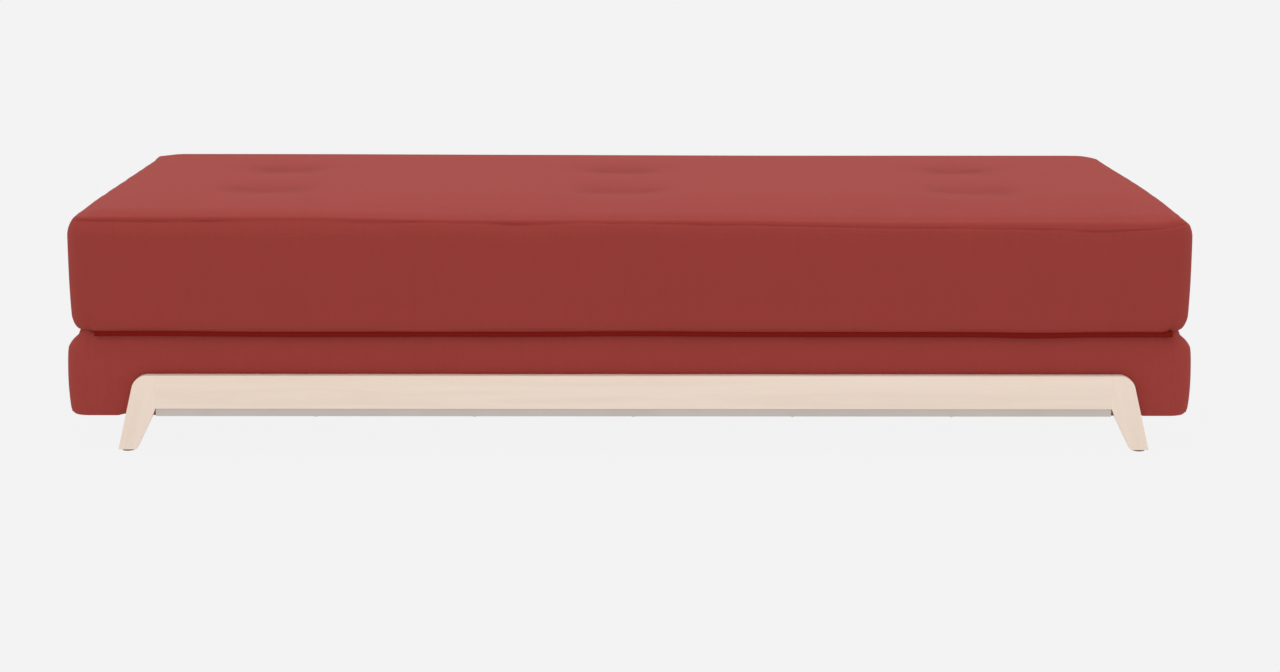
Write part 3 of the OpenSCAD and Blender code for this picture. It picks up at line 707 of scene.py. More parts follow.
def sew(name, panels, cloth_places):
    """One closed mesh from the panels, with shared edge points merged and each panel's own cloth map."""
    points, quads, places, start = [], [], [], 0
    for key, grid in panels.items():
        points.append(grid.reshape(-1, 3))
        places.append(cloth_places[key].reshape(-1, 2))
        quads.append(panel_faces(grid.shape[:2], start, FLIPPED[key]))
        start += grid.shape[0] * grid.shape[1]
    points, quads, places = np.concatenate(points), np.concatenate(quads), np.concatenate(places)
    _, first, merged = np.unique(np.round(points, 7), axis=0, return_index=True, return_inverse=True)
    merged = merged.reshape(-1)
    mesh = bpy.data.meshes.new(name)
    mesh.from_pydata(points[first].tolist(), [], merged[quads].tolist())
    cloth = mesh.uv_layers.new(name="cloth")
    cloth.data.foreach_set("uv", places[quads].reshape(-1).astype(np.float32))
    return mesh, merged, first


def cloth_map(panels, along):
    """Where each panel's points lie on the cloth that it was cut from, in metres."""
    made = {}
    for key, grid in panels.items():
        if key in ("top", "bottom"):
            made[key] = grid[..., :2].copy()
        else:
            run = grid[..., 0 if key in ("front", "back") else 1]
            made[key] = np.stack([run, np.broadcast_to(along[None, :], run.shape)], -1)
    return made


def vectors(mesh, kind="co"):
    """The mesh's points, or with kind "normal" the normals there."""
    found = np.empty(len(mesh.vertices) * 3)
    mesh.vertices.foreach_get(kind, found)
    return found.reshape(-1, 3)


def move_points(mesh, co):
    mesh.vertices.foreach_set("co", co.ravel())
    mesh.update()


def mark(mesh, name, values):
    """Stores a number on each point, for the cloth's finish to read."""
    mesh.attributes.new(name, "FLOAT", "POINT").data.foreach_set("value", values.astype(np.float32))


def puffed(mesh, pins, pressure, cap):
    """How far the cloth simulation moves each point. pins holds a point still at 1 and lets it go at 0."""
    obj = bpy.data.objects.new("cloth_trial", mesh)
    scene = bpy.context.scene
    scene.collection.objects.link(obj)
    group = obj.vertex_groups.new(name="pins")
    for level in np.unique(np.round(pins, 1)):
        group.add(np.nonzero(np.round(pins, 1) == level)[0].tolist(), float(level), "REPLACE")
    modifier = obj.modifiers.new("Cloth", "CLOTH")
    cloth = modifier.settings
    cloth.quality = 5
    cloth.mass = 0.35
    cloth.tension_stiffness = cloth.compression_stiffness = 12
    cloth.shear_stiffness = 6
    cloth.bending_stiffness = 1.2
    cloth.use_pressure = True
    cloth.uniform_pressure_force = pressure
    cloth.vertex_group_mass = "pins"
    cloth.pin_stiffness = 1
    cloth.effector_weights.gravity = 0
    modifier.collision_settings.use_collision = False
    start = vectors(mesh)
    for step in range(1, 21):
        scene.frame_set(step)
    graph = bpy.context.evaluated_depsgraph_get()
    moved = vectors(obj.evaluated_get(graph).data) - start
    scene.frame_set(1)
    bpy.data.objects.remove(obj)
    bpy.data.meshes.remove(mesh)
    far = np.linalg.norm(moved, axis=1, keepdims=True)
    return moved * np.minimum(1, cap / np.maximum(far, 1e-9))


def simulated(pad, row_places, pins, cap):
    """The cloth's movement on a coarse grid of its own, as a function that carries it to any other grid."""
    c = settings("sofa_bed_cushions")
    xs, ys = pad.lines(c.cloth_cell, 3)
    rows = resample(pad.profile, row_places)
    panels = pad.panels(xs, ys, rows)
    mesh, merged, _ = sew("cloth_trial", panels, cloth_map(panels, row_places))
    moved = puffed(mesh, pins(vectors(mesh)), c.pressure, cap)[merged]
    fields, start = {}, 0
    for key, grid in panels.items():
        count = grid.shape[0] * grid.shape[1]
        fields[key] = moved[start : start + count].reshape(grid.shape)
        start += count

    def carried(key, fine_x, fine_y, fine_rows):
        if key in ("top", "bottom"):
            first, second = (xs.along, fine_x.along), (ys.along, fine_y.along)
        else:
            lines = (xs.along, fine_x.along) if key in ("front", "back") else (ys.along, fine_y.along)
            first, second = lines, (row_places, fine_rows)
        return np.einsum("ia,abk,jb->ijk", spline_weights(*first), fields[key], spline_weights(*second))

    return carried


def rail_outline(grow):
    """The front leg frame's outline in X and Z, grown by a clearance and left open to the floor."""
    glide = LEG[0][2]
    top, shoulder_x, foot_x = RAIL[1][2], RAIL[1][0] + SHOULDER_WIDTH, LEG[1][0]
    lean = math.atan((foot_x - shoulder_x) / (top - glide))
    cx = shoulder_x - SHOULDER_RADIUS * (1 - math.sin(lean)) / math.cos(lean)
    cz = top - SHOULDER_RADIUS
    grown = SHOULDER_RADIUS + grow
    arc = [(cx + grown * math.cos(a), cz + grown * math.sin(a)) for a in np.linspace(lean, math.pi / 2, 9)]
    low = BASE[0][2] - 0.02
    right = [(foot_x + grow - (low - glide) * math.tan(lean), low), *arc]
    return right + [(-x, z) for x, z in reversed(right)]


def distance_to(outline, x, z):
    """Distance from points to a closed outline."""
    best = np.full(x.shape, 1.0)
    for (ax, az), (bx, bz) in zip(outline, outline[1:] + outline[:1]):
        dx, dz = bx - ax, bz - az
        t = np.clip(((x - ax) * dx + (z - az) * dz) / (dx * dx + dz * dz), 0, 1)
        best = np.minimum(best, np.hypot(x - ax - t * dx, z - az - t * dz))
    return best


# The mattress


def seam_height():
    """Height of the mattress's top seam: the crown's height below its highest point."""
    return MATTRESS[1][2] - settings("sofa_bed_cushions").crown


def drawn_in(below):
    """How far the border is drawn in at a distance below the top seam, down to its bulge."""
    c = settings("sofa_bed_cushions")
    return c.seam_in * np.clip(1 - np.maximum(below, 0) / c.bulge, 0, 1) ** 2


def mattress_profile(full, high):
    """Inset and height up the mattress's side, from the bottom to the top.

    It is rounded below, bulges, and turns over the top edge. full and high are the rounding's power and
    height: a power of 1 is an ellipse, and less is boxier.
    """
    c = settings("sofa_bed_cushions")
    bottom, seam, turn = MATTRESS[0][2], seam_height(), 0.005
    low = bottom + high
    rows = [
        (c.edge_in - (c.edge_in - c.belly) * math.sin(a) ** full, bottom + high * (1 - math.cos(a) ** full))
        for a in np.linspace(0, math.pi / 2, 19)[:-1]
    ]
    for t in np.linspace(0, 1, 24):
        z = low + t * (seam - low)
        if z < seam - turn:
            rows.append((c.belly * (2 * t - 1) ** 2 if t < 0.5 else drawn_in(seam - z), z))
    for a in np.linspace(math.radians(10), math.radians(80), 7):
        rows.append((c.seam_in + turn * (0.84 - math.cos(a)), seam + turn * (math.sin(a) - 0.84)))
    return np.array(rows)


def button_radius():
    """Half the width of a button, from the back row's depth."""
    co = vectors(frame["nodes"]["tuft_buttons"].data)
    return float(np.ptp(co[co[:, 1] > 0][:, 1])) / 2


def tufts():
    """The centres of the tufts, from where the model has their buttons."""
    low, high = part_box("tuft_buttons")
    reach = button_radius()
    xs = (low[0] + reach, (low[0] + high[0]) / 2, high[0] - reach)
    return [(float(x), float(y)) for x in xs for y in (low[1] + reach, high[1] - reach)]


def mattress_top(x, y):
    """Height of the mattress's top: crowned, and drawn down at each tuft, deepest beside its button."""
    c = settings("sofa_bed_cushions")

    def rise(out):
        return 1 - (1 - np.clip(out / c.crown_run, 0, 1)) ** 2

    across = rise(MATTRESS[1][0] - c.seam_in - np.abs(x))
    z = seam_height() + 0.0007 + (c.crown - 0.0007) * across * rise(MATTRESS[1][1] - c.seam_in - np.abs(y))
    for number, (tx, ty) in enumerate(tufts()):
        dx, dy = x - tx, y - ty
        rho = np.hypot(dx / c.tuft_reach, dy / (c.tuft_reach * np.where(dy < 0, 1.2, 0.8)))
        dish = 0.5 + 0.5 * np.cos(math.pi * np.clip(rho, 0, 1))
        pits = sum(bump(dx - s * pinch_at(ty), 0.036) for s in (-1, 1)) * bump(dy, 0.042)
        button = bump(np.hypot(dx, dy), button_radius() * 2.6)
        angle = np.arctan2(dy, dx)
        lobes = np.cos(5 * angle + number * 1.7) * 0.6 + np.cos(8 * angle - number * 2.3) * 0.4
        folds = c.fold_depth * lobes * bump(rho - 0.42, 0.26)
        z = z - c.tuft_depth * (0.90 * dish + 0.14 * pits + 0.78 * button) + folds
    return z


def pinch_at(ty):
    """Distance from a tuft's middle to its deep ends: wider apart in the front row."""
    return settings("sofa_bed_cushions").pinch * (1.35 if ty < 0 else 0.95)


def tuft_shade(dx, dy, pinch):
    """How much painted shade darkens the cloth round a tuft, standing in for the shade in its dimple: 1 where
    it is deepest.
    """
    wide = bump(dx, 0.095) * bump(dy, 0.066)
    pits = sum(bump(dx - s * pinch, 0.026) for s in (-1, 1)) * bump(dy - 0.01, 0.042)
    return 0.34 * wide + 0.72 * pits


def top_round(x, y):
    """Height of the cloth's turn over the top edge: tight on the left, soft on the right."""
    c = settings("sofa_bed_cushions")
    along = rightward(x) + 0.2 * ease((x - MATTRESS[1][0] + 0.07) / 0.06)
    return c.seam_round + (c.soft_round - c.seam_round) * along


def rightward(x):
    """How far the top edge has softened: 0 at the left, where it is tight, to 1 at the right."""
    return ease((x + 0.45) / 1.3)


def turned_over(pad, points):
    """The points with the top edge rolled to its radius there."""
    c = settings("sofa_bed_cushions")
    x, y, z = points.T
    out = np.maximum(np.abs([x, y]) - pad.core[:, None], 0)
    far = np.maximum(np.hypot(*out), 1e-9)
    edge = seam_height() - z
    wall = drawn_in(edge - seam_creep(x, y)) * (1 - 0.5 * rightward(x))
    ease_out = (drawn_in(edge) - wall) * (out[1] / far) ** 2 * (y < 0)
    squat = 1.9 - 0.75 * rightward(x)
    bend = 2 - 0.3 * rightward(x)
    inward = (pad.radius - far - drawn_in(edge)) * squat
    below = mattress_top(x, y) - z
    radius = top_round(x, y)
    near = (inward < radius) & (below < radius)
    sides = [np.maximum(radius - side, 0) ** bend for side in (inward, below)]
    toward = np.maximum(sum(sides) ** (1 / bend), 1e-9)
    pull = np.where(near, (radius - inward) * (1 - radius / toward), 0) / squat
    drop = np.where(near, (radius - below) * (1 - radius / toward), 0)
    pull = pull - ease_out * ease((far - pad.radius + 0.03) / 0.012)
    way = np.sign([x, y]) * out / far
    return np.stack([x - way[0] * pull, y - way[1] * pull, z - drop], -1)


def frontward(y):
    """1 along the front edge, falling to 0 a quarter of a metre behind it."""
    return 1 - ease((y + 0.40) / 0.2)


def seam_creep(x, y):
    """How far below the edge the top seam runs."""
    c = settings("sofa_bed_cushions")
    fall = c.seam_fall * ease(x + 0.1) - 0.8 * c.seam_drop * ease((x + 0.5) / 0.15)
    dips = ((-0.2, 0.004), (0.15, 0.002), (0.83, 0.005))
    fall = fall + sum(deep * bump(x - place, 0.06) for place, deep in dips)
    return c.seam_drop + fall * frontward(y) + 0.0005 * ripple(around(x, y), 0.42, 7)


def seam_strength(x, y):
    """How deep the seam is drawn in along its way: at the front it all but vanishes in two places."""
    gone = bump(x + 0.60, 0.13, 4) + 0.8 * bump(x + 0.09, 0.04, 4)
    return (1 - 0.85 * gone * frontward(y)) * np.clip(0.85 + 0.35 * ripple(around(x, y), 0.16, 3), 0.3, 1.2)


def uneven(x, y, height):
    """How far the padding stands above or below its even height. height goes from 0 below to 1 at the top.

    In the photograph the mattress is a little higher at its left, and its front's top edge lies lower
    from there on.
    """
    c = settings("sofa_bed_cushions")
    lift = c.left_lift * (1 - ease((x + 0.75) / 1.1)) * (1 - 0.3 * ease((-0.2 - y) / 0.2))
    past = 0.3 + 0.7 * ease((x + 0.6) / 0.3) + 0.57 * ease((x - 0.1) / 0.4)
    past = past - 1.2 * ease((x - 0.93) / 0.06)
    near = 1 - ease((y - MATTRESS[0][1]) / 0.26)
    return height * (lift - c.front_fall * past * near)


def crease_wave(x, y, z):
    """The slow rise and fall of the line where the cushions meet, at the front alone."""
    c = settings("sofa_bed_cushions")
    bumps = ((-0.87, 0.12, 1), (-0.59, 0.10, -0.4), (0.01, 0.14, 1), (0.72, 0.07, -1.6))
    wave = c.wave * sum(high * bump(x - place, wide) for place, wide, high in bumps)
    return (wave - 0.0014) * ease((-y - 0.42) / 0.02) * np.exp(-np.abs(z - HINGE.z) / 0.03)


def around(x, y):
    """A running length round a cushion, for patterns that follow its sides."""
    return np.where(np.abs(y) > MATTRESS[1][1] - 0.045, x, y + 3.0)


class SOFABED_OT_mattress(bpy.types.Operator):
    """Makes the mattress: a puffed, tufted cushion with one seam round its top edge"""

    bl_idname = "sofa_bed.mattress"
    bl_label = "Mattress"

    def execute(self, context):
        c = settings("sofa_bed_cushions")
        soft, full = mattress_profile(c.slack, c.mattress_edge), mattress_profile(c.boxy, c.mattress_fold)
        pad = Pad(MATTRESS, c.corner, soft, mattress_top)
        up = travel(soft)[-1]
        # Stretches of the side, from its bottom edge up: they have more rows where the side bends.
        marks = (0, 0.008, 0.030, up - 0.036, up)
        rows = [np.linspace(a, b, n)[1:] for a, b, n in zip(marks, marks[1:], (4, 26, 15, 27))]
        rows = np.concatenate([[0], *rows])
        xs, ys = pad.lines(c.cell, 9)
        panels = boxed_in(pad, xs, ys, rows, full)
        for key, grid in panels.items():
            if key != "bottom":
                panels[key] = turned_over(pad, grid.reshape(-1, 3)).reshape(grid.shape)
            self.settle(pad, panels[key])
        places = cloth_map(panels, rows)
        coarse = np.linspace(0, up, 14)
        carried = simulated(pad, coarse, self.pins, c.cap)
        for key in panels:
            panels[key] = panels[key] + carried(key, xs, ys, rows)
        edge = up - EDGE_TURN
        # How far below the top edge each point lies along the cloth, and below 0 for those on the top.
        drop = []
        for key, grid in panels.items():
            below = edge if key == "bottom" else edge - rows
            if key == "top":
                inward = pad.inset(grid[..., 0], grid[..., 1], pad.radius - soft[-1, 0])
                below = edge - up - np.maximum(inward, 0)
            drop.append(np.broadcast_to(below, grid.shape[:2]).ravel())
        mesh, _, first = sew("mattress_cushion", panels, places)
        self.work_seam(mesh, np.concatenate(drop)[first])
        stretch_ends(mesh, c.left_end, c.right_end)
        shape_corners(mesh)
        obj = piece("mattress_cushion", mesh, finish_of(upholstery), 70)
        hand_over(obj, "red_cloth", "mattress", "mattress_cover")
        return {"FINISHED"}

    def settle(self, pad, grid):
        """Lets a panel sag and lean as it lies on the base, in place."""
        c = settings("sofa_bed_cushions")
        x, y, z = np.moveaxis(grid, -1, 0)
        low = z - MATTRESS[0][2]
        height = ease((low - 0.03) / (seam_height() - MATTRESS[0][2] - 0.03))
        hang = c.overhang * ease((-y - 0.430) / 0.010) * (1 - ease(low / 0.03))
        out = c.front_out * ease((-y - 0.430) / 0.018) * (1 - ease(low / 0.055))
        out = out * ease((pad.core[0] - np.abs(x)) / 0.02)
        y -= out + zip_bed(x, y, z)
        z += uneven(x, y, height) + crease_wave(x, y, z) - hang

    def pins(self, co):
        """What the simulation may not move: the seam, the underside and the tufts."""
        x, y, z = co.T
        rim = (np.abs(x) > MATTRESS[1][0] - 0.05) | (np.abs(y) > MATTRESS[1][1] - 0.05)
        seam = np.clip(1 - np.abs(z - seam_height()) / 0.030, 0, 1) * rim
        under = np.clip(1 - (z - MATTRESS[0][2]) / 0.030, 0, 1)
        sewn = np.zeros_like(x)
        for tx, ty in tufts():
            sewn = np.maximum(sewn, np.clip(1.6 - np.hypot(x - tx, y - ty) / 0.05, 0, 1))
        return np.clip(np.maximum.reduce([seam * 1.4, under * 1.4, sewn]), 0, 1)

    def work_seam(self, mesh, drop):
        """Sinks the seam, gathers the cloth beside it, and marks where the finish paints the seam's shadow
        and the tufts' shade.
        """
        c = settings("sofa_bed_cushions")
        co, out = vectors(mesh), vectors(mesh, "normal")
        x, y = co[:, 0], co[:, 1]
        away = drop - seam_creep(x, y)
        run = around(x, y)
        strength = seam_strength(x, y)
        groove = bump(away, c.seam_width) * strength
        near = np.exp(-np.abs(away) / 0.016)
        gather = ripple(run, 0.055, 11) * 0.6 + ripple(run, 0.13, 12) * 0.7
        side = drop < 0.19
        shift = -c.seam_depth * groove + c.pucker * gather * near * (1 - 0.6 * np.clip(groove, 0, 1))
        shift += 0.0007 * ripple(run, 0.33, 21) * np.clip(drop / 0.05, 0, 1)
        # Painted shade: these marks tell the cloth's finish where to paint the seam's shadow and the shade in
        # the tufts' dimples.
        mark(mesh, "seam_shadow", np.clip(1 - np.abs(away) / c.seam_reach, 0, 1) * strength * side)
        painted_tuft_shade = sum(tuft_shade(x - tx, y - ty, pinch_at(ty)) for tx, ty in tufts()) * (drop < 0)
        mark(mesh, "tuft_pressed", painted_tuft_shade)
        move_points(mesh, co + out * (shift * side)[:, None])


def zip_bed(x, y, z):
    """How far the back border is drawn in under the zip."""
    low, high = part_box("zip_tape")
    depth, fade = 0.0036, 0.016
    beyond, past = (
        np.maximum(np.abs(along - (low[axis] + high[axis]) / 2) - (high[axis] - low[axis]) / 2, 0)
        for along, axis in ((z, 2), (x, 0))
    )
    return depth * (1 - ease(np.hypot(beyond, past) / fade)) * (y > low[1] - 0.02)


def boxed_in(pad, xs, ys, rows, boxy):
    """The pad's panels, with the front and the back on a boxier profile, but for the corners."""
    soft = pad.panels(xs, ys, resample(pad.profile, rows))
    boxed = pad.panels(xs, ys, resample(boxy, rows * travel(boxy)[-1] / rows[-1]))
    for key in ("front", "back"):
        share = ease((pad.core[0] - np.abs(soft[key][..., :1])) / 0.014)
        soft[key] = soft[key] + share * (boxed[key] - soft[key])
    return soft


def stretch_ends(mesh, left, right):
    """Moves a cushion's left end out and its right end in, as padding that is never quite even."""
    co = vectors(mesh)
    share = co[:, 0] / MATTRESS[1][0]
    co[:, 0] -= right * ease((share - 0.8) / 0.2) + left * ease((-share - 0.8) / 0.2)
    move_points(mesh, co)


def shape_corners(mesh):
    """Fills the mattress's back left corner and lets the back right one slump, as years of use do."""
    c = settings("sofa_bed_cushions")
    co = vectors(mesh)
    x, y, z = co.T
    corner = ease((y - 0.38) / 0.07)
    x -= c.back_end * ease((y + 0.1) / 0.5) * ease((x / MATTRESS[1][0] - 0.8) / 0.2)
    x -= c.left_corner * corner * ease((-x / MATTRESS[1][0] - 0.93) / 0.06)
    z -= c.slump * corner * ease((x - 0.90) / 0.08) * ease((z - 0.30) / 0.10)
    move_points(mesh, co)


# The base


def base_profile(full, edge, lean):
    """Inset and height up the base's side: drawn in at the hem, bulging, rounded on top by that power."""
    c = settings("sofa_bed_cushions")
    bottom, top = BASE[0][2], BASE[1][2]
    high = top - edge
    rows = []
    for t in np.linspace(0, 1, 20):
        pull = c.hem_in if t < 0.5 else lean
        rows.append((pull * (2 * t - 1) ** 2, bottom + t * (high - bottom)))
    hem = [(c.hem_in + 0.004, bottom), (c.hem_in + 0.0012, bottom + 0.0008)]
    rows = hem + [r for r in rows if r[1] > bottom + 0.003]
    for a in np.linspace(math.pi / 2, 0, 16)[1:]:
        out, over = math.sin(a), math.cos(a)
        rows.append((c.edge_in - (c.edge_in - lean) * out**full, high + edge * over**full))
    return np.array(rows)


class SOFABED_OT_base(bpy.types.Operator):
    """Makes the base's cushion, with the leg frames pressed into its front and back"""

    bl_idname = "sofa_bed.base"
    bl_label = "Base cushion"

    def execute(self, context):
        c = settings("sofa_bed_cushions")
        top = BASE[1][2]
        soft = base_profile(c.base_slack, c.base_edge, c.belly)
        boxed = base_profile(c.base_boxy, c.base_fold, c.base_lean)
        pad = Pad(BASE, c.corner, soft, lambda x, y: np.full_like(x, top))
        up = travel(soft)[-1]
        bend = up - 0.045
        rows = np.concatenate([np.linspace(0, bend, 18), np.linspace(bend, up, 16)[1:]])
        xs, ys = pad.lines(c.cell * 1.15, 6)
        panels = boxed_in(pad, xs, ys, rows, boxed)
        places = cloth_map(panels, rows)
        coarse = np.linspace(0, up, 11)
        carried = simulated(pad, coarse, self.pins, c.cap * 0.4)
        for key in ("front", "back", "left", "right"):
            panels[key] = panels[key] + carried(key, xs, ys, rows) * 0.45
        mesh, _, _ = sew("base_cushion", panels, places)
        self.settle(pad, mesh)
        stretch_ends(mesh, c.left_end, c.right_end * 2)
        obj = piece("base_cushion", mesh, finish_of(upholstery, False))
        for side in (-1, 1):
            self.press_in(obj, side)
        smoothed(obj, 50)
        hand_over(obj, "red_cloth", "base", "base_cover")
        return {"FINISHED"}

    def settle(self, pad, mesh):
        """Sinks the cloth along the leg frames, swells the ends and lets the hem hang."""
        c = settings("sofa_bed_cushions")
        bottom, top = BASE[0][2], BASE[1][2]
        co, out = vectors(mesh), vectors(mesh, "normal")
        x, y, z = co.T
        side = np.abs(y) > BASE[1][1] - BEHIND_EDGE
        groove, groove_width = 0.0030, 0.004
        press = np.where(side, bump(distance_to(rail_outline(0), x, z), groove_width), 0)
        free = np.clip((top - 0.002 - z) / 0.03, 0, 1) * np.clip((z - bottom - 0.002) / 0.02, 0, 1)
        shift = -groove * press + 0.0008 * ripple(around(x, y), 0.30, 31) * free
        co = co + out * shift[:, None]
        x, y, z = co.T
        level = np.clip((z - bottom) / (top - bottom), 0, 1)
        swell = np.maximum(c.base_bulge * (1 - ((level - 0.4) / 0.5) ** 8), -c.base_bulge / 3)
        x += np.sign(x) * swell * ease((np.abs(x) / BASE[1][0] - 0.93) / 0.07)
        z += crease_wave(x, y, z)
        rim = pad.inset(x[:, None], y[:, None], pad.radius)[:, 0]
        hem = 1 - ease((z - bottom) / 0.045)
        z -= c.hem_sag * hem * (1 - ease((rim - 0.012) / 0.02))
        move_points(mesh, co)

    def pins(self, co):
        """What the simulation may not move: the hem, the top and the cloth behind the leg frames."""
        x, y, z = co.T
        under = np.clip(1 - (z - BASE[0][2]) / 0.022, 0, 1)
        over = np.clip(1 - (BASE[1][2] - z) / 0.018, 0, 1)
        framed = (np.abs(y) > BASE[1][1] - BEHIND_EDGE) & (distance_to(rail_outline(0), x, z) < 0.02)
        return np.clip(np.maximum.reduce([under * 1.4, over * 1.4, framed * 0.9]), 0, 1)

    def press_in(self, obj, side):
        """Cuts the leg frame's bed into the padding, on the front (-1) or the back (1)."""
        clear, beyond = 0.0004, 0.05
        outline = rail_outline(clear)
        depths = (side * (-RAIL[1][1] - clear), side * (-RAIL[1][1] + beyond))
        points = [(x, depth, z) for depth in depths for x, z in outline]
        mesh = closed_mesh("bed_cutter", points, tube_faces(2, len(outline)))
        cutter = bpy.data.objects.new("bed_cutter", mesh)
        bpy.context.scene.collection.objects.link(cutter)
        cut = obj.modifiers.new("Bed", "BOOLEAN")
        cut.object = cutter
        cut.operation = "DIFFERENCE"
        cut.solver = "EXACT"
        baked(obj)
        bpy.data.objects.remove(cutter)
        bpy.data.meshes.remove(mesh)


class SOFABED_OT_cloth_hinge(bpy.types.Operator):
    """Makes the strip of cloth that hinges the mattress to the base"""

    bl_idname = "sofa_bed.cloth_hinge"
    bl_label = "Cloth hinge"

    def execute(self, context):
        low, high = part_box("hinge_leaf_lower"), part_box("hinge_leaf_upper")
        thick = 0.0009
        root = float(low[1][1])
        nose = HINGE.y + 0.0002
        below, above = ((box[0][2] + box[1][2]) / 2 for box in (low, high))
        centre = np.array(self.section(root, nose, below, above))
        step = np.gradient(centre, axis=0)
        across = np.stack([step[:, 1], -step[:, 0]], -1) / np.hypot(*step.T)[:, None]
        loop = np.concatenate([centre + across * thick / 2, (centre - across * thick / 2)[::-1]])
        xs = np.linspace(low[0][0], low[1][0], 190)
        points, places = [], []
        for x in xs:
            wander = 0.0006 * float(ripple(np.array([x]), 0.21, 5)[0])
            for y, z in loop:
                ahead = max(0.0, (root - y) / (root - nose))
                lift = float(crease_wave(x, -0.45, z) * ease((nose + 0.010 - y) / 0.010))
                points.append((x, y + wander * ahead, z + lift))
        along = travel(loop)
        for here, there in zip(xs, xs[1:]):
            for start, end in zip(along, [*along[1:], along[-1] + thick]):
                places += [(here, start), (here, end), (there, end), (there, start)]
        places += [(0, 0)] * (2 * len(loop))
        mesh = closed_mesh("cloth_hinge", points, tube_faces(len(xs), len(loop)), places=places)
        # The hinge tape's dark red is partly painted shade of the crease between the cushions.
        obj = piece("cloth_hinge", mesh, finish_of(dark_cloth), 60)
        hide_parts("hinge_leaf_lower", "hinge_leaf_upper")
        # A line that slants down from between the seams to the nose: its ends are worked out here but not
        # used.
        middle, slant, half = (low[1][2] + high[0][2]) / 2 + 0.0001, 0.05, 0.0001
        turn = middle - slant * (root - HINGE.y)
        start, end = ((0, HINGE.y - s * slant * half, turn + s * half) for s in (-1, 1))
        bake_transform(obj)
        return {"FINISHED"}

    def section(self, root, nose, below, above):
        """The strip's middle line: out from the base's seam, round the nose and back to the mattress's."""
        droop, bow, fall = 0.0062, 0.0020, 0.0009
        reach = np.linspace(root, nose + bow, 12)
        line = [(y, below - droop * ease((root - 0.002 - y) / 0.018)) for y in reach]
        tall = (above - fall - below + droop) / 2
        for a in np.linspace(-1.35, 1.35, 9):
            line.append((nose + bow - bow * math.cos(a), above - fall - tall + tall * math.sin(a)))
        for t in np.linspace(0, 1, 15)[1:]:
            line.append((nose + bow + (root - nose - bow) * t, above - fall * (1 - ease(t / 0.6))))
        return line


class SOFABED_OT_buttons(bpy.types.Operator):
    """Makes the cloth-covered buttons in the tufts"""

    bl_idname = "sofa_bed.buttons"
    bl_label = "Tuft buttons"

    def execute(self, context):
        low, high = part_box("tuft_buttons")
        radius, height = button_radius(), high[2] - low[2]
        rings, sides = 9, 40
        points, faces = [], []
        for number, (tx, ty) in enumerate(tufts()):
            tip = len(points)
            points.append((tx, ty, high[2]))
            for t in np.arange(1, rings + 1) / rings:
                spread = radius * math.sin(t * math.radians(112))
                z = low[2] + height * (0.5 + 0.5 * math.cos(t * math.radians(150)))
                for a in np.arange(sides) * 2 * math.pi / sides:
                    out = spread * (1 - 0.035 * t * (0.5 + 0.5 * math.cos(a * 10 + number)))
                    points.append((tx + math.cos(a) * out, ty + math.sin(a) * out, z))
            faces += [(tip, tip + 1 + i, tip + 1 + (i + 1) % sides) for i in range(sides)]
            around_it = tube_faces(rings, sides)
            faces += [tuple(tip + 1 + i for i in face) for face in around_it[:-2] + around_it[-1:]]
        mesh = closed_mesh("tuft_button_covers", points, faces, axes=(0, 1))
        obj = piece("tuft_button_covers", mesh, finish_of(upholstery, False), 60)
        hand_over(obj, "red_cloth", "mattress", "tuft_buttons")
        return {"FINISHED"}


class SOFABED_OT_foam(bpy.types.Operator):
    """Makes the blocks of foam inside the two cushions, with their corners cut round"""

    bl_idname = "sofa_bed.foam"
    bl_label = "Foam"

    def execute(self, context):
        c = settings("sofa_bed_cushions")
        arc = [(math.sin(a), math.cos(a)) for a in np.linspace(0, math.pi / 2, 5)]
        for node, body in (("base_foam", "base"), ("mattress_core", "mattress")):
            low, high = (Vector(corner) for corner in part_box(node))
            cut = min(0.3 * (high.z - low.z), c.base_edge)
            below = 0 if node == "base_foam" else cut
            profile = [(below * (1 - s), low.z + below * (1 - t)) for s, t in arc]
            profile += [(cut * (1 - t), high.z - cut * (1 - s)) for s, t in arc]
            profile = np.array([row for i, row in enumerate(profile) if i == 0 or row != profile[i - 1]])
            pad = Pad((low, high), c.corner, profile, lambda x, y, top=high.z: np.full_like(x, top))
            panels = pad.panels(*pad.lines(0.05, 5), profile)
            mesh, _, _ = sew(node + "_block", panels, cloth_map(panels, travel(profile)))
            hand_over(piece(node + "_block", mesh, finish_of(open_foam), 40), "foam", body, node)
        return {"FINISHED"}


# Wood and metal


def eased(node, width, material, name):
    """A copy of a CAD node with its edges rounded by a small bevel."""
    bm = bmesh.new()
    bm.from_mesh(frame["nodes"][node].data)
    bmesh.ops.remove_doubles(bm, verts=bm.verts, dist=1e-6)
    bmesh.ops.dissolve_limit(bm, angle_limit=math.radians(0.3), verts=bm.verts, edges=bm.edges)
    mesh = bpy.data.meshes.new(name)
    bm.to_mesh(mesh)
    bm.free()
    obj = piece(name, mesh, material)
    bevel = obj.modifiers.new("Edge", "BEVEL")
    bevel.width = width
    bevel.segments = 3
    bevel.limit_method = "ANGLE"
    bevel.angle_limit = math.radians(35)
    bevel.use_clamp_overlap = True
    return smoothed(baked(obj), 40)


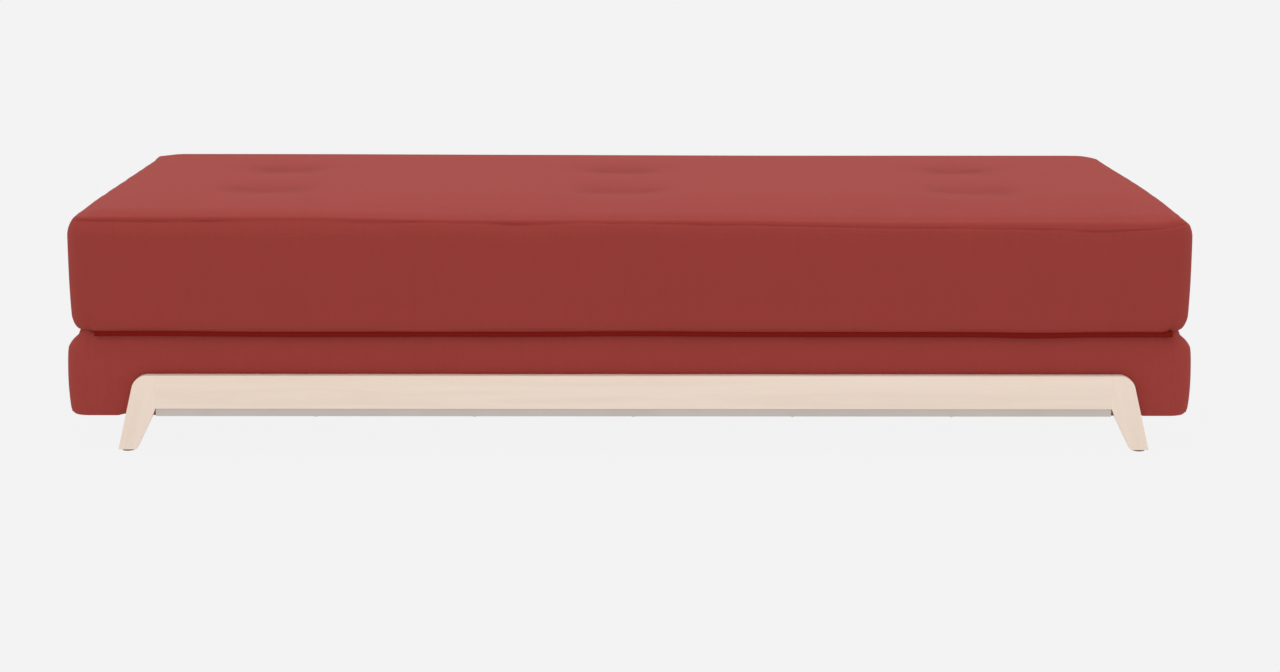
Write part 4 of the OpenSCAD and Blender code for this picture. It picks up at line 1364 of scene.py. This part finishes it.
class SOFABED_OT_leg_frames(bpy.types.Operator):
    """Makes the two leg frames in pale wood, with eased edges and the grain along each piece"""

    bl_idname = "sofa_bed.leg_frames"
    bl_label = "Leg frames"

    def execute(self, context):
        wood = settings("sofa_bed_wood")
        lean = math.atan2(LEG[1][0] - RAIL[1][0] - SHOULDER_WIDTH, LEG[1][2] - LEG[0][2])
        turns = {"rail": 0.0, "left_leg": math.pi / 2 - lean, "right_leg": math.pi / 2 + lean}
        for node in (f"{end}_{part}" for end in ("front", "back") for part in turns):
            part = node.partition("_")[2]
            finish = finish_of(pale_wood, f"pale_wood_{part}", turns[part])
            hand_over(eased(node, wood.edge, finish, f"{node}_wood"), "light_wood", "base", node)
        return {"FINISHED"}


class SOFABED_OT_hidden_works(bpy.types.Operator):
    """Gives the box, the slats, the stiffeners, the glides and every fastener its own finish"""

    bl_idname = "sofa_bed.hidden_works"
    bl_label = "Hidden works"

    def execute(self, context):
        pine = [(0.62, 0.43, 0.24), (0.48, 0.29, 0.14)]
        beech = [(0.70, 0.50, 0.31), (0.58, 0.37, 0.20)]
        coat = finish_of(powder_coat)
        bright = finish_of(metal, "zinc_steel", (0.62, 0.62, 0.60), (60, 900, 900))
        board_x = finish_of(board, "pine_along", *pine, (2, 34, 34))
        board_y = finish_of(board, "pine_across", *pine, (34, 2, 34))
        finishes = {
            "front_stiffener": coat,
            "back_stiffener": coat,
            "stiffener_screws": bright,
            "frame_bolts": bright,
            "bolt_washers": bright,
            "box_screws": bright,
            "threaded_inserts": finish_of(metal, "insert_brass", (0.72, 0.52, 0.24), (900, 60, 900)),
            "leg_dowels": finish_of(board, "beech_dowels", *beech, (4, 60, 60)),
            "box_front_board": board_x,
            "box_back_board": board_x,
            "box_left_board": board_y,
            "box_right_board": board_y,
            "corner_blocks": finish_of(board, "pine_upright", *pine, (34, 34, 2)),
            "cross_rail": board_y,
            "slat": finish_of(board, "beech_slats", *beech, (34, 2, 34)),
            "slat_holders": finish_of(black_plastic),
            "tuft_twine": finish_of(twine),
            "tuft_anchors": finish_of(felt, "grey_felt", (0.16, 0.15, 0.145)),
            "foot_glides": finish_of(felt, "brown_felt", (0.13, 0.10, 0.08)),
        }
        for node, obj in frame["nodes"].items():
            finish = finishes.get(node.rstrip("_0123456789"))
            if finish:
                obj.data.materials.clear()
                obj.data.materials.append(finish)
        return {"FINISHED"}


# What repeats


REPEAT_NODES = {
    "inputs": "NodeGroupInput",
    "curve": "GeometryNodeMeshToCurve",
    "even": "GeometryNodeResampleCurve",
    "tangent": "GeometryNodeInputTangent",
    "turn": "FunctionNodeAlignRotationToVector",
    "info": "GeometryNodeObjectInfo",
    "place": "GeometryNodeInstanceOnPoints",
    "chance": "FunctionNodeRandomValue",
    "spread": "ShaderNodeVectorMath",
    "wobbled": "GeometryNodeRotateInstances",
    "real": "GeometryNodeRealizeInstances",
    "dress": "GeometryNodeSetMaterial",
    "outputs": "NodeGroupOutput",
}
REPEAT_LINKS = """
    inputs Path curve Mesh
    curve Curve even Curve
    inputs Step even Length
    even Curve place Points
    tangent Tangent turn Vector
    turn Rotation place Rotation
    inputs Piece info Object
    info Geometry place Instance
    chance Value spread Vector
    inputs Wobble spread Scale
    place Instances wobbled Instances
    spread Vector wobbled Rotation
    wobbled Instances real Geometry
    real Geometry dress Geometry
    inputs Finish dress Material
    dress Geometry outputs Pieces
"""


def repeating_tree():
    """Geometry nodes: copies of one piece at even steps along a path, each turned to follow it."""
    name = "pieces_along_a_path"
    if name in bpy.data.node_groups:
        return bpy.data.node_groups[name]
    tree = bpy.data.node_groups.new(name, "GeometryNodeTree")
    tree.is_modifier = True
    kinds = {"Path": "Geometry", "Step": "Float", "Piece": "Object", "Wobble": "Float", "Finish": "Material"}
    for socket, kind in kinds.items():
        tree.interface.new_socket(socket, in_out="INPUT", socket_type="NodeSocket" + kind)
    tree.interface.new_socket("Pieces", in_out="OUTPUT", socket_type="NodeSocketGeometry")
    nodes = {key: tree.nodes.new(kind) for key, kind in REPEAT_NODES.items()}
    nodes["even"].mode = "LENGTH"
    nodes["turn"].axis = "X"
    nodes["spread"].operation = "SCALE"
    chance = nodes["chance"]
    chance.data_type = "FLOAT_VECTOR"
    chance.inputs["Seed"].default_value = 4
    chance.inputs["Min"].default_value = (-1, -1, -1)
    chance.inputs["Max"].default_value = (1, 1, 1)
    for line in REPEAT_LINKS.split("\n")[1:-1]:
        source, output, target, entry = line.split()
        tree.links.new(nodes[source].outputs[output], nodes[target].inputs[entry])
    return tree


def row_of(name, paths, unit, step, material, wobble=0.0):
    """One mesh of a unit piece repeated along open paths."""
    points, edges = [], []
    for path in paths:
        start = len(points)
        points += path
        edges += [(start + i, start + i + 1) for i in range(len(path) - 1)]
    mesh = bpy.data.meshes.new(name)
    mesh.from_pydata(points, edges, [])
    obj = piece(name, mesh, material)
    pattern = bpy.data.objects.new(name + "_unit", unit)
    bpy.context.scene.collection.objects.link(pattern)
    tree = repeating_tree()
    modifier = obj.modifiers.new("Row", "NODES")
    modifier.node_group = tree
    sockets = {s.name: s.identifier for s in tree.interface.items_tree if s.in_out == "INPUT"}
    for key, value in {"Step": step, "Piece": pattern, "Wobble": wobble, "Finish": material}.items():
        modifier[sockets[key]] = value
    baked(obj)
    bpy.data.objects.remove(pattern)
    bpy.data.meshes.remove(unit)
    return smoothed(obj, 45)


def bar(size, ease_by=0.3, sides=6):
    """A small rounded bar along X, for stitches, zip teeth and staples."""
    long, wide, high = size
    points = []
    for t, fat in ((-0.5, 0.35), (-0.5 + ease_by / 2, 1), (0.5 - ease_by / 2, 1), (0.5, 0.35)):
        for a in np.arange(sides) * 2 * math.pi / sides:
            points.append((t * long, math.cos(a) * wide / 2 * fat, math.sin(a) * high / 2 * fat))
    return closed_mesh("unit", points, tube_faces(4, sides))


class SOFABED_OT_zip(bpy.types.Operator):
    """Makes the zip in the mattress's back border: tape, teeth, stitches, slider and pull"""

    bl_idname = "sofa_bed.zip"
    bl_label = "Zip"

    def execute(self, context):
        low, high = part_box("zip_tape")
        thick = 0.0012
        face_y = low[1] + thick
        middle, half = (low[2] + high[2]) / 2, (high[2] - low[2]) / 2
        # Across the tape: share of its half width, and depth into it from its face.
        bevelled = [(0.13, 0.4), (0.16, 0), (0.9, 0), (0.97, 0.25), (1, 0.8)]
        bevelled = [(-share, sunk) for share, sunk in reversed(bevelled)] + bevelled + [(1, 1), (-1, 1)]
        profile = [(face_y - thick * sunk, middle + half * share) for share, sunk in bevelled]
        xs = np.linspace(low[0], high[0], 220)
        points = [(x, y, z) for x in xs for y, z in profile]
        mesh = closed_mesh("zip_tape_cloth", points, tube_faces(len(xs), len(profile)), axes=(0, 2))
        tape = piece("zip_tape_cloth", mesh, finish_of(dark_cloth), 50)
        hand_over(tape, "dark_red_cloth", "mattress", "zip_tape")
        path = [(x, face_y + 0.0008, middle) for x in (low[0] + 0.004, high[0] - 0.004)]
        tooth = bar((0.0013, 0.0018, 0.0048), 0.5)
        teeth = row_of("zip_teeth", [path], tooth, 0.0021, finish_of(dark_cloth))
        hand_over(teeth, "dark_red_cloth", "mattress")
        ends = (low[0] + 0.006, high[0] - 0.006)
        paths = [[(x, face_y, middle + side * half * 0.72) for x in ends] for side in (-1, 1)]
        stitch = bar((0.0026, 0.0006, 0.0006))
        stitches = row_of("zip_stitches", paths, stitch, 0.0034, finish_of(thread), 0.06)
        hand_over(stitches, "dark_red_cloth", "mattress")
        bright = finish_of(metal, "zip_nickel", (0.55, 0.53, 0.50), (900, 900, 90))
        for node in ("zip_slider", "zip_pull"):
            hand_over(eased(node, 0.0005, bright, node + "_metal"), "zip_metal", node, node)
        return {"FINISHED"}


class SOFABED_OT_hinge_stitches(bpy.types.Operator):
    """Makes the rows of stitches that hold the cloth hinge to the base and to the mattress"""

    bl_idname = "sofa_bed.hinge_stitches"
    bl_label = "Hinge stitches"

    def execute(self, context):
        low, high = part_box("hinge_leaf_lower"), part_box("hinge_leaf_upper")
        ends = (low[0][0] + 0.004, low[1][0] - 0.004)
        heights = {"base": low[1][2] - 0.0001, "mattress": high[0][2] + 0.0001}
        for name, body in (("hinge_stitches_lower", "base"), ("hinge_stitches_upper", "mattress")):
            path = [(x, low[1][1] - 0.006, heights[body]) for x in ends]
            obj = row_of(name, [path], bar((0.0036, 0.0007, 0.0003)), 0.0046, finish_of(thread), 0.05)
            hand_over(obj, "dark_red_cloth", body)
        return {"FINISHED"}


class SOFABED_OT_dust_cloth(bpy.types.Operator):
    """Makes the dust cloth under the base, drawn tight and stapled along its edge"""

    bl_idname = "sofa_bed.dust_cloth"
    bl_label = "Dust cloth"

    def execute(self, context):
        low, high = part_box("dust_cloth")
        nx, ny = 150, 66
        xs, ys = (np.linspace(low[axis], high[axis], count) for axis, count in ((0, nx), (1, ny)))
        x, y = np.meshgrid(xs, ys, indexing="ij")
        edge = np.minimum(high[0] - np.abs(x), high[1] - np.abs(y))
        sag = 0.0022 * ease(edge / 0.05) * (0.6 + 0.4 * ripple(x * 0.8 + y, 0.9, 41))
        pull = 0.0007 * np.exp(-edge / 0.03) * ripple(x + 3 * y, 0.06, 42)
        drop = np.clip(sag + pull, -0.0002, None)
        sheets = [np.stack([x, y, z], -1) for z in (low[2] - drop, high[2] - 0.0002 - drop * 0.85)]
        n = nx * ny
        quads = panel_faces((nx, ny), 0, True).tolist() + panel_faces((nx, ny), n, False).tolist()
        grid = np.arange(n).reshape(nx, ny)
        rim = [*grid[:, 0], *grid[-1, 1:], *grid[-2::-1, -1], *grid[0, -2:0:-1]]
        quads += [[a, b, b + n, a + n] for a, b in zip(rim, rim[1:] + rim[:1])]
        points = np.concatenate([s.reshape(-1, 3) for s in sheets]).tolist()
        mesh = closed_mesh("dust_cloth_sheet", points, quads, axes=(0, 1))
        obj = piece("dust_cloth_sheet", mesh, finish_of(nonwoven), 50)
        hand_over(obj, "dust_cloth", "base", "dust_cloth")
        z = low[2] - 0.0001
        hx, hy = high[0] - 0.006, high[1] - 0.006
        paths = [[(-hx + 0.02, side * hy, z), (hx - 0.02, side * hy, z)] for side in (-1, 1)]
        paths += [[(side * hx, -hy + 0.04, z), (side * hx, hy - 0.04, z)] for side in (-1, 1)]
        steel = finish_of(metal, "staple_steel", (0.60, 0.60, 0.60), (900, 90, 900))
        staples = row_of("dust_cloth_staples", paths, bar((0.010, 0.0011, 0.0007), 0.16), 0.056, steel, 0.10)
        hand_over(staples, "screw_steel", "base")
        return {"FINISHED"}


# The studio


class SOFABED_OT_stage(bpy.types.Operator):
    """Makes the pale floor, the soft light and the camera at the photograph's view"""

    bl_idname = "sofa_bed.stage"
    bl_label = "Stage"

    def execute(self, context):
        s = settings("sofa_bed_studio")
        scene = context.scene
        scene.view_settings.view_transform = "Standard"
        scene.view_settings.look = "None"
        half = 60.0
        corners = [(-half, -half, 0), (half, -half, 0), (half, half, 0), (-half, half, 0)]
        mesh = bpy.data.meshes.new("floor")
        mesh.from_pydata(corners, [], [(0, 1, 2, 3)])
        piece("floor", mesh, finish_of(studio_floor))
        world = bpy.data.worlds.new("studio")
        world.use_nodes = True
        back = world.node_tree.nodes["Background"]
        back.inputs["Color"].default_value = (1, 1, 1, 1)
        back.inputs["Strength"].default_value = s.sky
        scene.world = world
        sun = bpy.data.lights.new("key", "SUN")
        sun.energy = s.key
        sun.angle = math.radians(50)
        key = bpy.data.objects.new("key", sun)
        key.rotation_euler = Vector((0.0, 0.15, 1.0)).to_track_quat("Z", "Y").to_euler()
        scene.collection.objects.link(key)
        data = bpy.data.cameras.new("camera")
        data.lens = s.lens
        data.sensor_width = 36
        data.sensor_fit = "HORIZONTAL"
        data.clip_end = 200
        camera = bpy.data.objects.new("camera", data)
        camera.matrix_world = (
            Matrix.Translation(s.camera)
            @ Matrix.Rotation(math.pi / 2 - s.pitch, 4, "X")
            @ Matrix.Rotation(s.roll, 4, "Z")
        )
        scene.collection.objects.link(camera)
        scene.camera = camera
        return {"FINISHED"}


# The add-on


OPERATORS = (
    SOFABED_OT_stage,
    SOFABED_OT_mattress,
    SOFABED_OT_base,
    SOFABED_OT_cloth_hinge,
    SOFABED_OT_buttons,
    SOFABED_OT_foam,
    SOFABED_OT_leg_frames,
    SOFABED_OT_hidden_works,
    SOFABED_OT_zip,
    SOFABED_OT_hinge_stitches,
    SOFABED_OT_dust_cloth,
)
GROUPS = {
    "sofa_bed_cushions": SofaBedCushions,
    "sofa_bed_cloth": SofaBedCloth,
    "sofa_bed_wood": SofaBedWood,
    "sofa_bed_studio": SofaBedStudio,
}


class SOFABED_PT_panel(bpy.types.Panel):
    """Lists the pieces of the sofa bed and their sizes"""

    bl_idname = "SOFABED_PT_panel"
    bl_label = "Sofa Bed"
    bl_space_type = "VIEW_3D"
    bl_region_type = "UI"
    bl_category = "Sofa Bed"

    def draw(self, context):
        for group in GROUPS:
            box = self.layout.box()
            for key in getattr(context.scene, group).bl_rna.properties.keys():
                if key not in ("rna_type", "name"):
                    box.prop(getattr(context.scene, group), key)
        for operator in OPERATORS:
            self.layout.operator(operator.bl_idname)


def register():
    for cls in (*GROUPS.values(), *OPERATORS, SOFABED_PT_panel):
        bpy.utils.register_class(cls)
    for name, group in GROUPS.items():
        setattr(bpy.types.Scene, name, PointerProperty(type=group))


def unregister():
    for name in GROUPS:
        delattr(bpy.types.Scene, name)
    for cls in reversed((*GROUPS.values(), *OPERATORS, SOFABED_PT_panel)):
        bpy.utils.unregister_class(cls)


def main():
    register()
    for operator in OPERATORS:
        group, name = operator.bl_idname.split(".")
        getattr(getattr(bpy.ops, group), name)()


if __name__ == "__main__":
    main()
